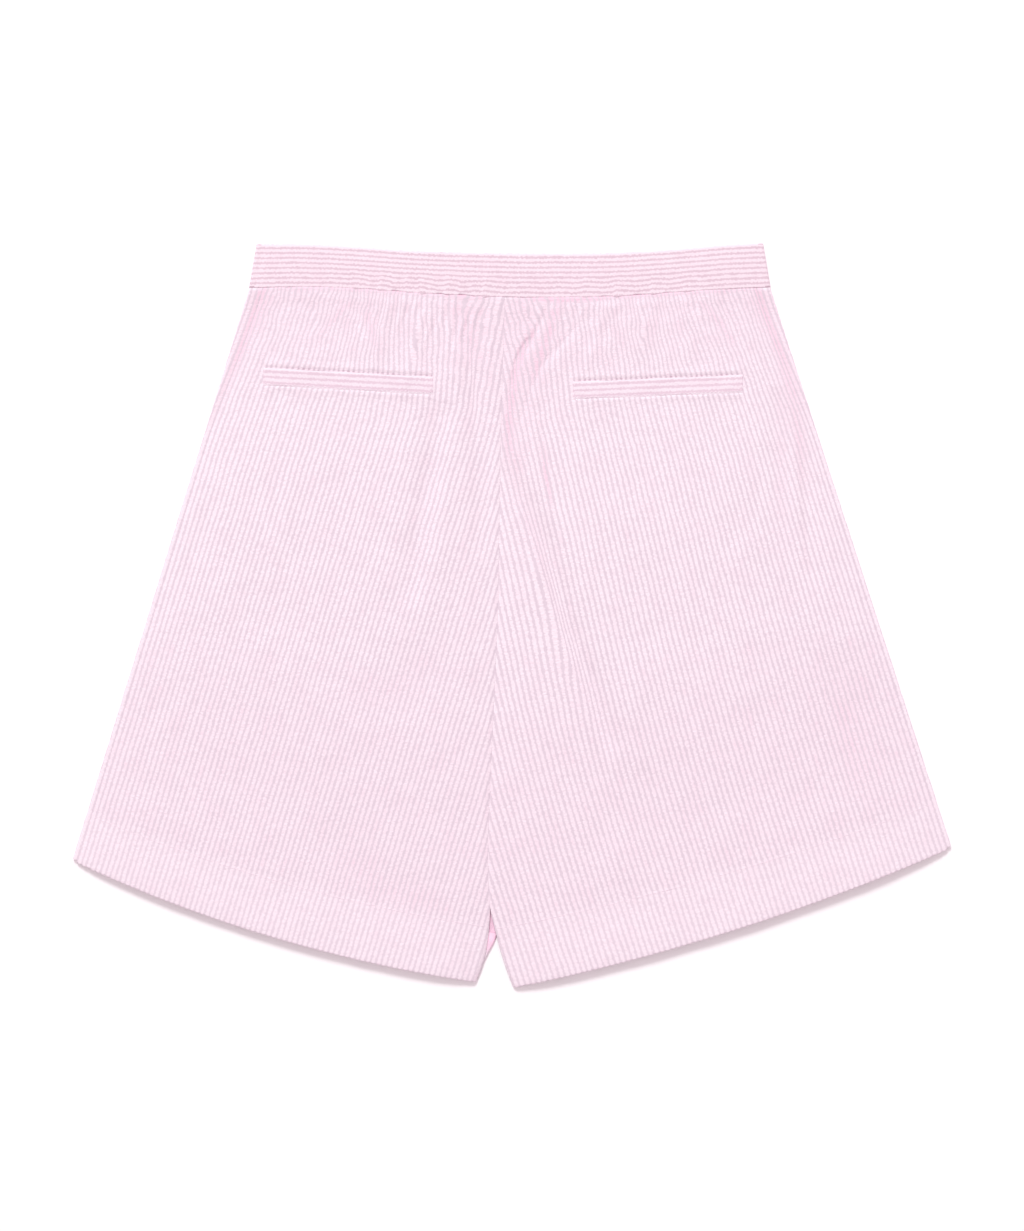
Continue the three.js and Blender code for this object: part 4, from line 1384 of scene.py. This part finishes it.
# %% [markdown]
# ## Stitches
#
# The hem is held by one row of stitches, and each welt by a row along its lower edge and its ends. A stitch
# is a small flattened bead of thread that sinks at both ends. There are a few hundred, so each has only a
# few dozen faces, and each row is one mesh.

# %% Stitches
STITCH_LENGTH, STITCH_STEP, STITCH_WIDTH = 2.2, 3.0, 0.42
STITCH_LIFT = 0.02
HEM_STITCH_BELOW = 1.5  # mm from the top of the turned-up hem
WELT_STITCH_IN, WELT_STITCH_TOP = 1.1, 0.6  # mm in from the sides and the lower edge, and from the top
THREAD_PALE = srgb(250, 236, 243)
THREAD_PINK = srgb(232, 208, 221)


def thread_material():
    material, tree, shader = new_material("thread", 0.7)
    place = add_node(tree, "ShaderNodeTexCoord", output="Object")
    tone = add_node(tree, "ShaderNodeTexNoise", {}, {"Vector": place, "Scale": 900.0, "Detail": 1.0})
    colour = mix_colour(tree, tone, THREAD_PALE, THREAD_PINK)
    tree.links.new(colour.socket, shader.inputs["Base Color"])
    return material


def stitch_row(name, starts, ends):
    """One bead of thread from each start to its end, in mm."""
    form = bmesh.new()
    for start, end in zip(starts, ends):
        way = Vector(end - start)
        bead = bmesh.ops.create_uvsphere(form, u_segments=8, v_segments=5, radius=0.5)
        bmesh.ops.scale(form, verts=bead["verts"], vec=(STITCH_WIDTH, STITCH_WIDTH, way.length))
        turn = way.to_track_quat("Z", "Y").to_matrix()
        bmesh.ops.rotate(form, verts=bead["verts"], cent=(0, 0, 0), matrix=turn)
        bmesh.ops.translate(form, verts=bead["verts"], vec=Vector((start + end) / 2))
    bmesh.ops.scale(form, verts=form.verts, vec=(MM, MM, MM))
    for face in form.faces:
        face.smooth = True
    mesh = bpy.data.meshes.new(name)
    form.to_mesh(mesh)
    form.free()
    mesh.materials.append(thread)
    return piece_of(name, mesh)


def stitches_along(path):
    """Starts and ends of stitches along a line of points."""
    far = np.concatenate([[0], np.cumsum(np.linalg.norm(np.diff(path, axis=0), axis=1))])
    begin = np.arange(0.5, far[-1] - STITCH_LENGTH, STITCH_STEP)
    path = path + [0, 0, STITCH_LIFT]
    places = (begin, begin + STITCH_LENGTH)
    return [np.column_stack([np.interp(place, far, axis) for axis in path.T]) for place in places]


thread = thread_material()
for leg in ("left", "right"):
    column = np.linspace(0.006, 0.994, 400)
    path = back_face(leg, column, PANEL_LENGTH - HEM_TURN + HEM_STITCH_BELOW)
    stitch_row("hem_stitches_" + leg, *stitches_along(path))
    near, far = WELT_STITCH_IN, WELT_WIDTH - WELT_STITCH_IN
    high = WELT_HEIGHT - WELT_STITCH_TOP
    corners = [(near, high), (near, near), (far, near), (far, high)]
    line = [np.linspace(a, b, int(np.hypot(*np.subtract(b, a)) * 2)) for a, b in zip(corners, corners[1:])]
    path = on_back(leg, welt_plan(leg, *np.vstack(line).T), WELT_LIFT + WELT_PUFF)
    stitch_row("welt_stitches_" + leg, *stitches_along(path))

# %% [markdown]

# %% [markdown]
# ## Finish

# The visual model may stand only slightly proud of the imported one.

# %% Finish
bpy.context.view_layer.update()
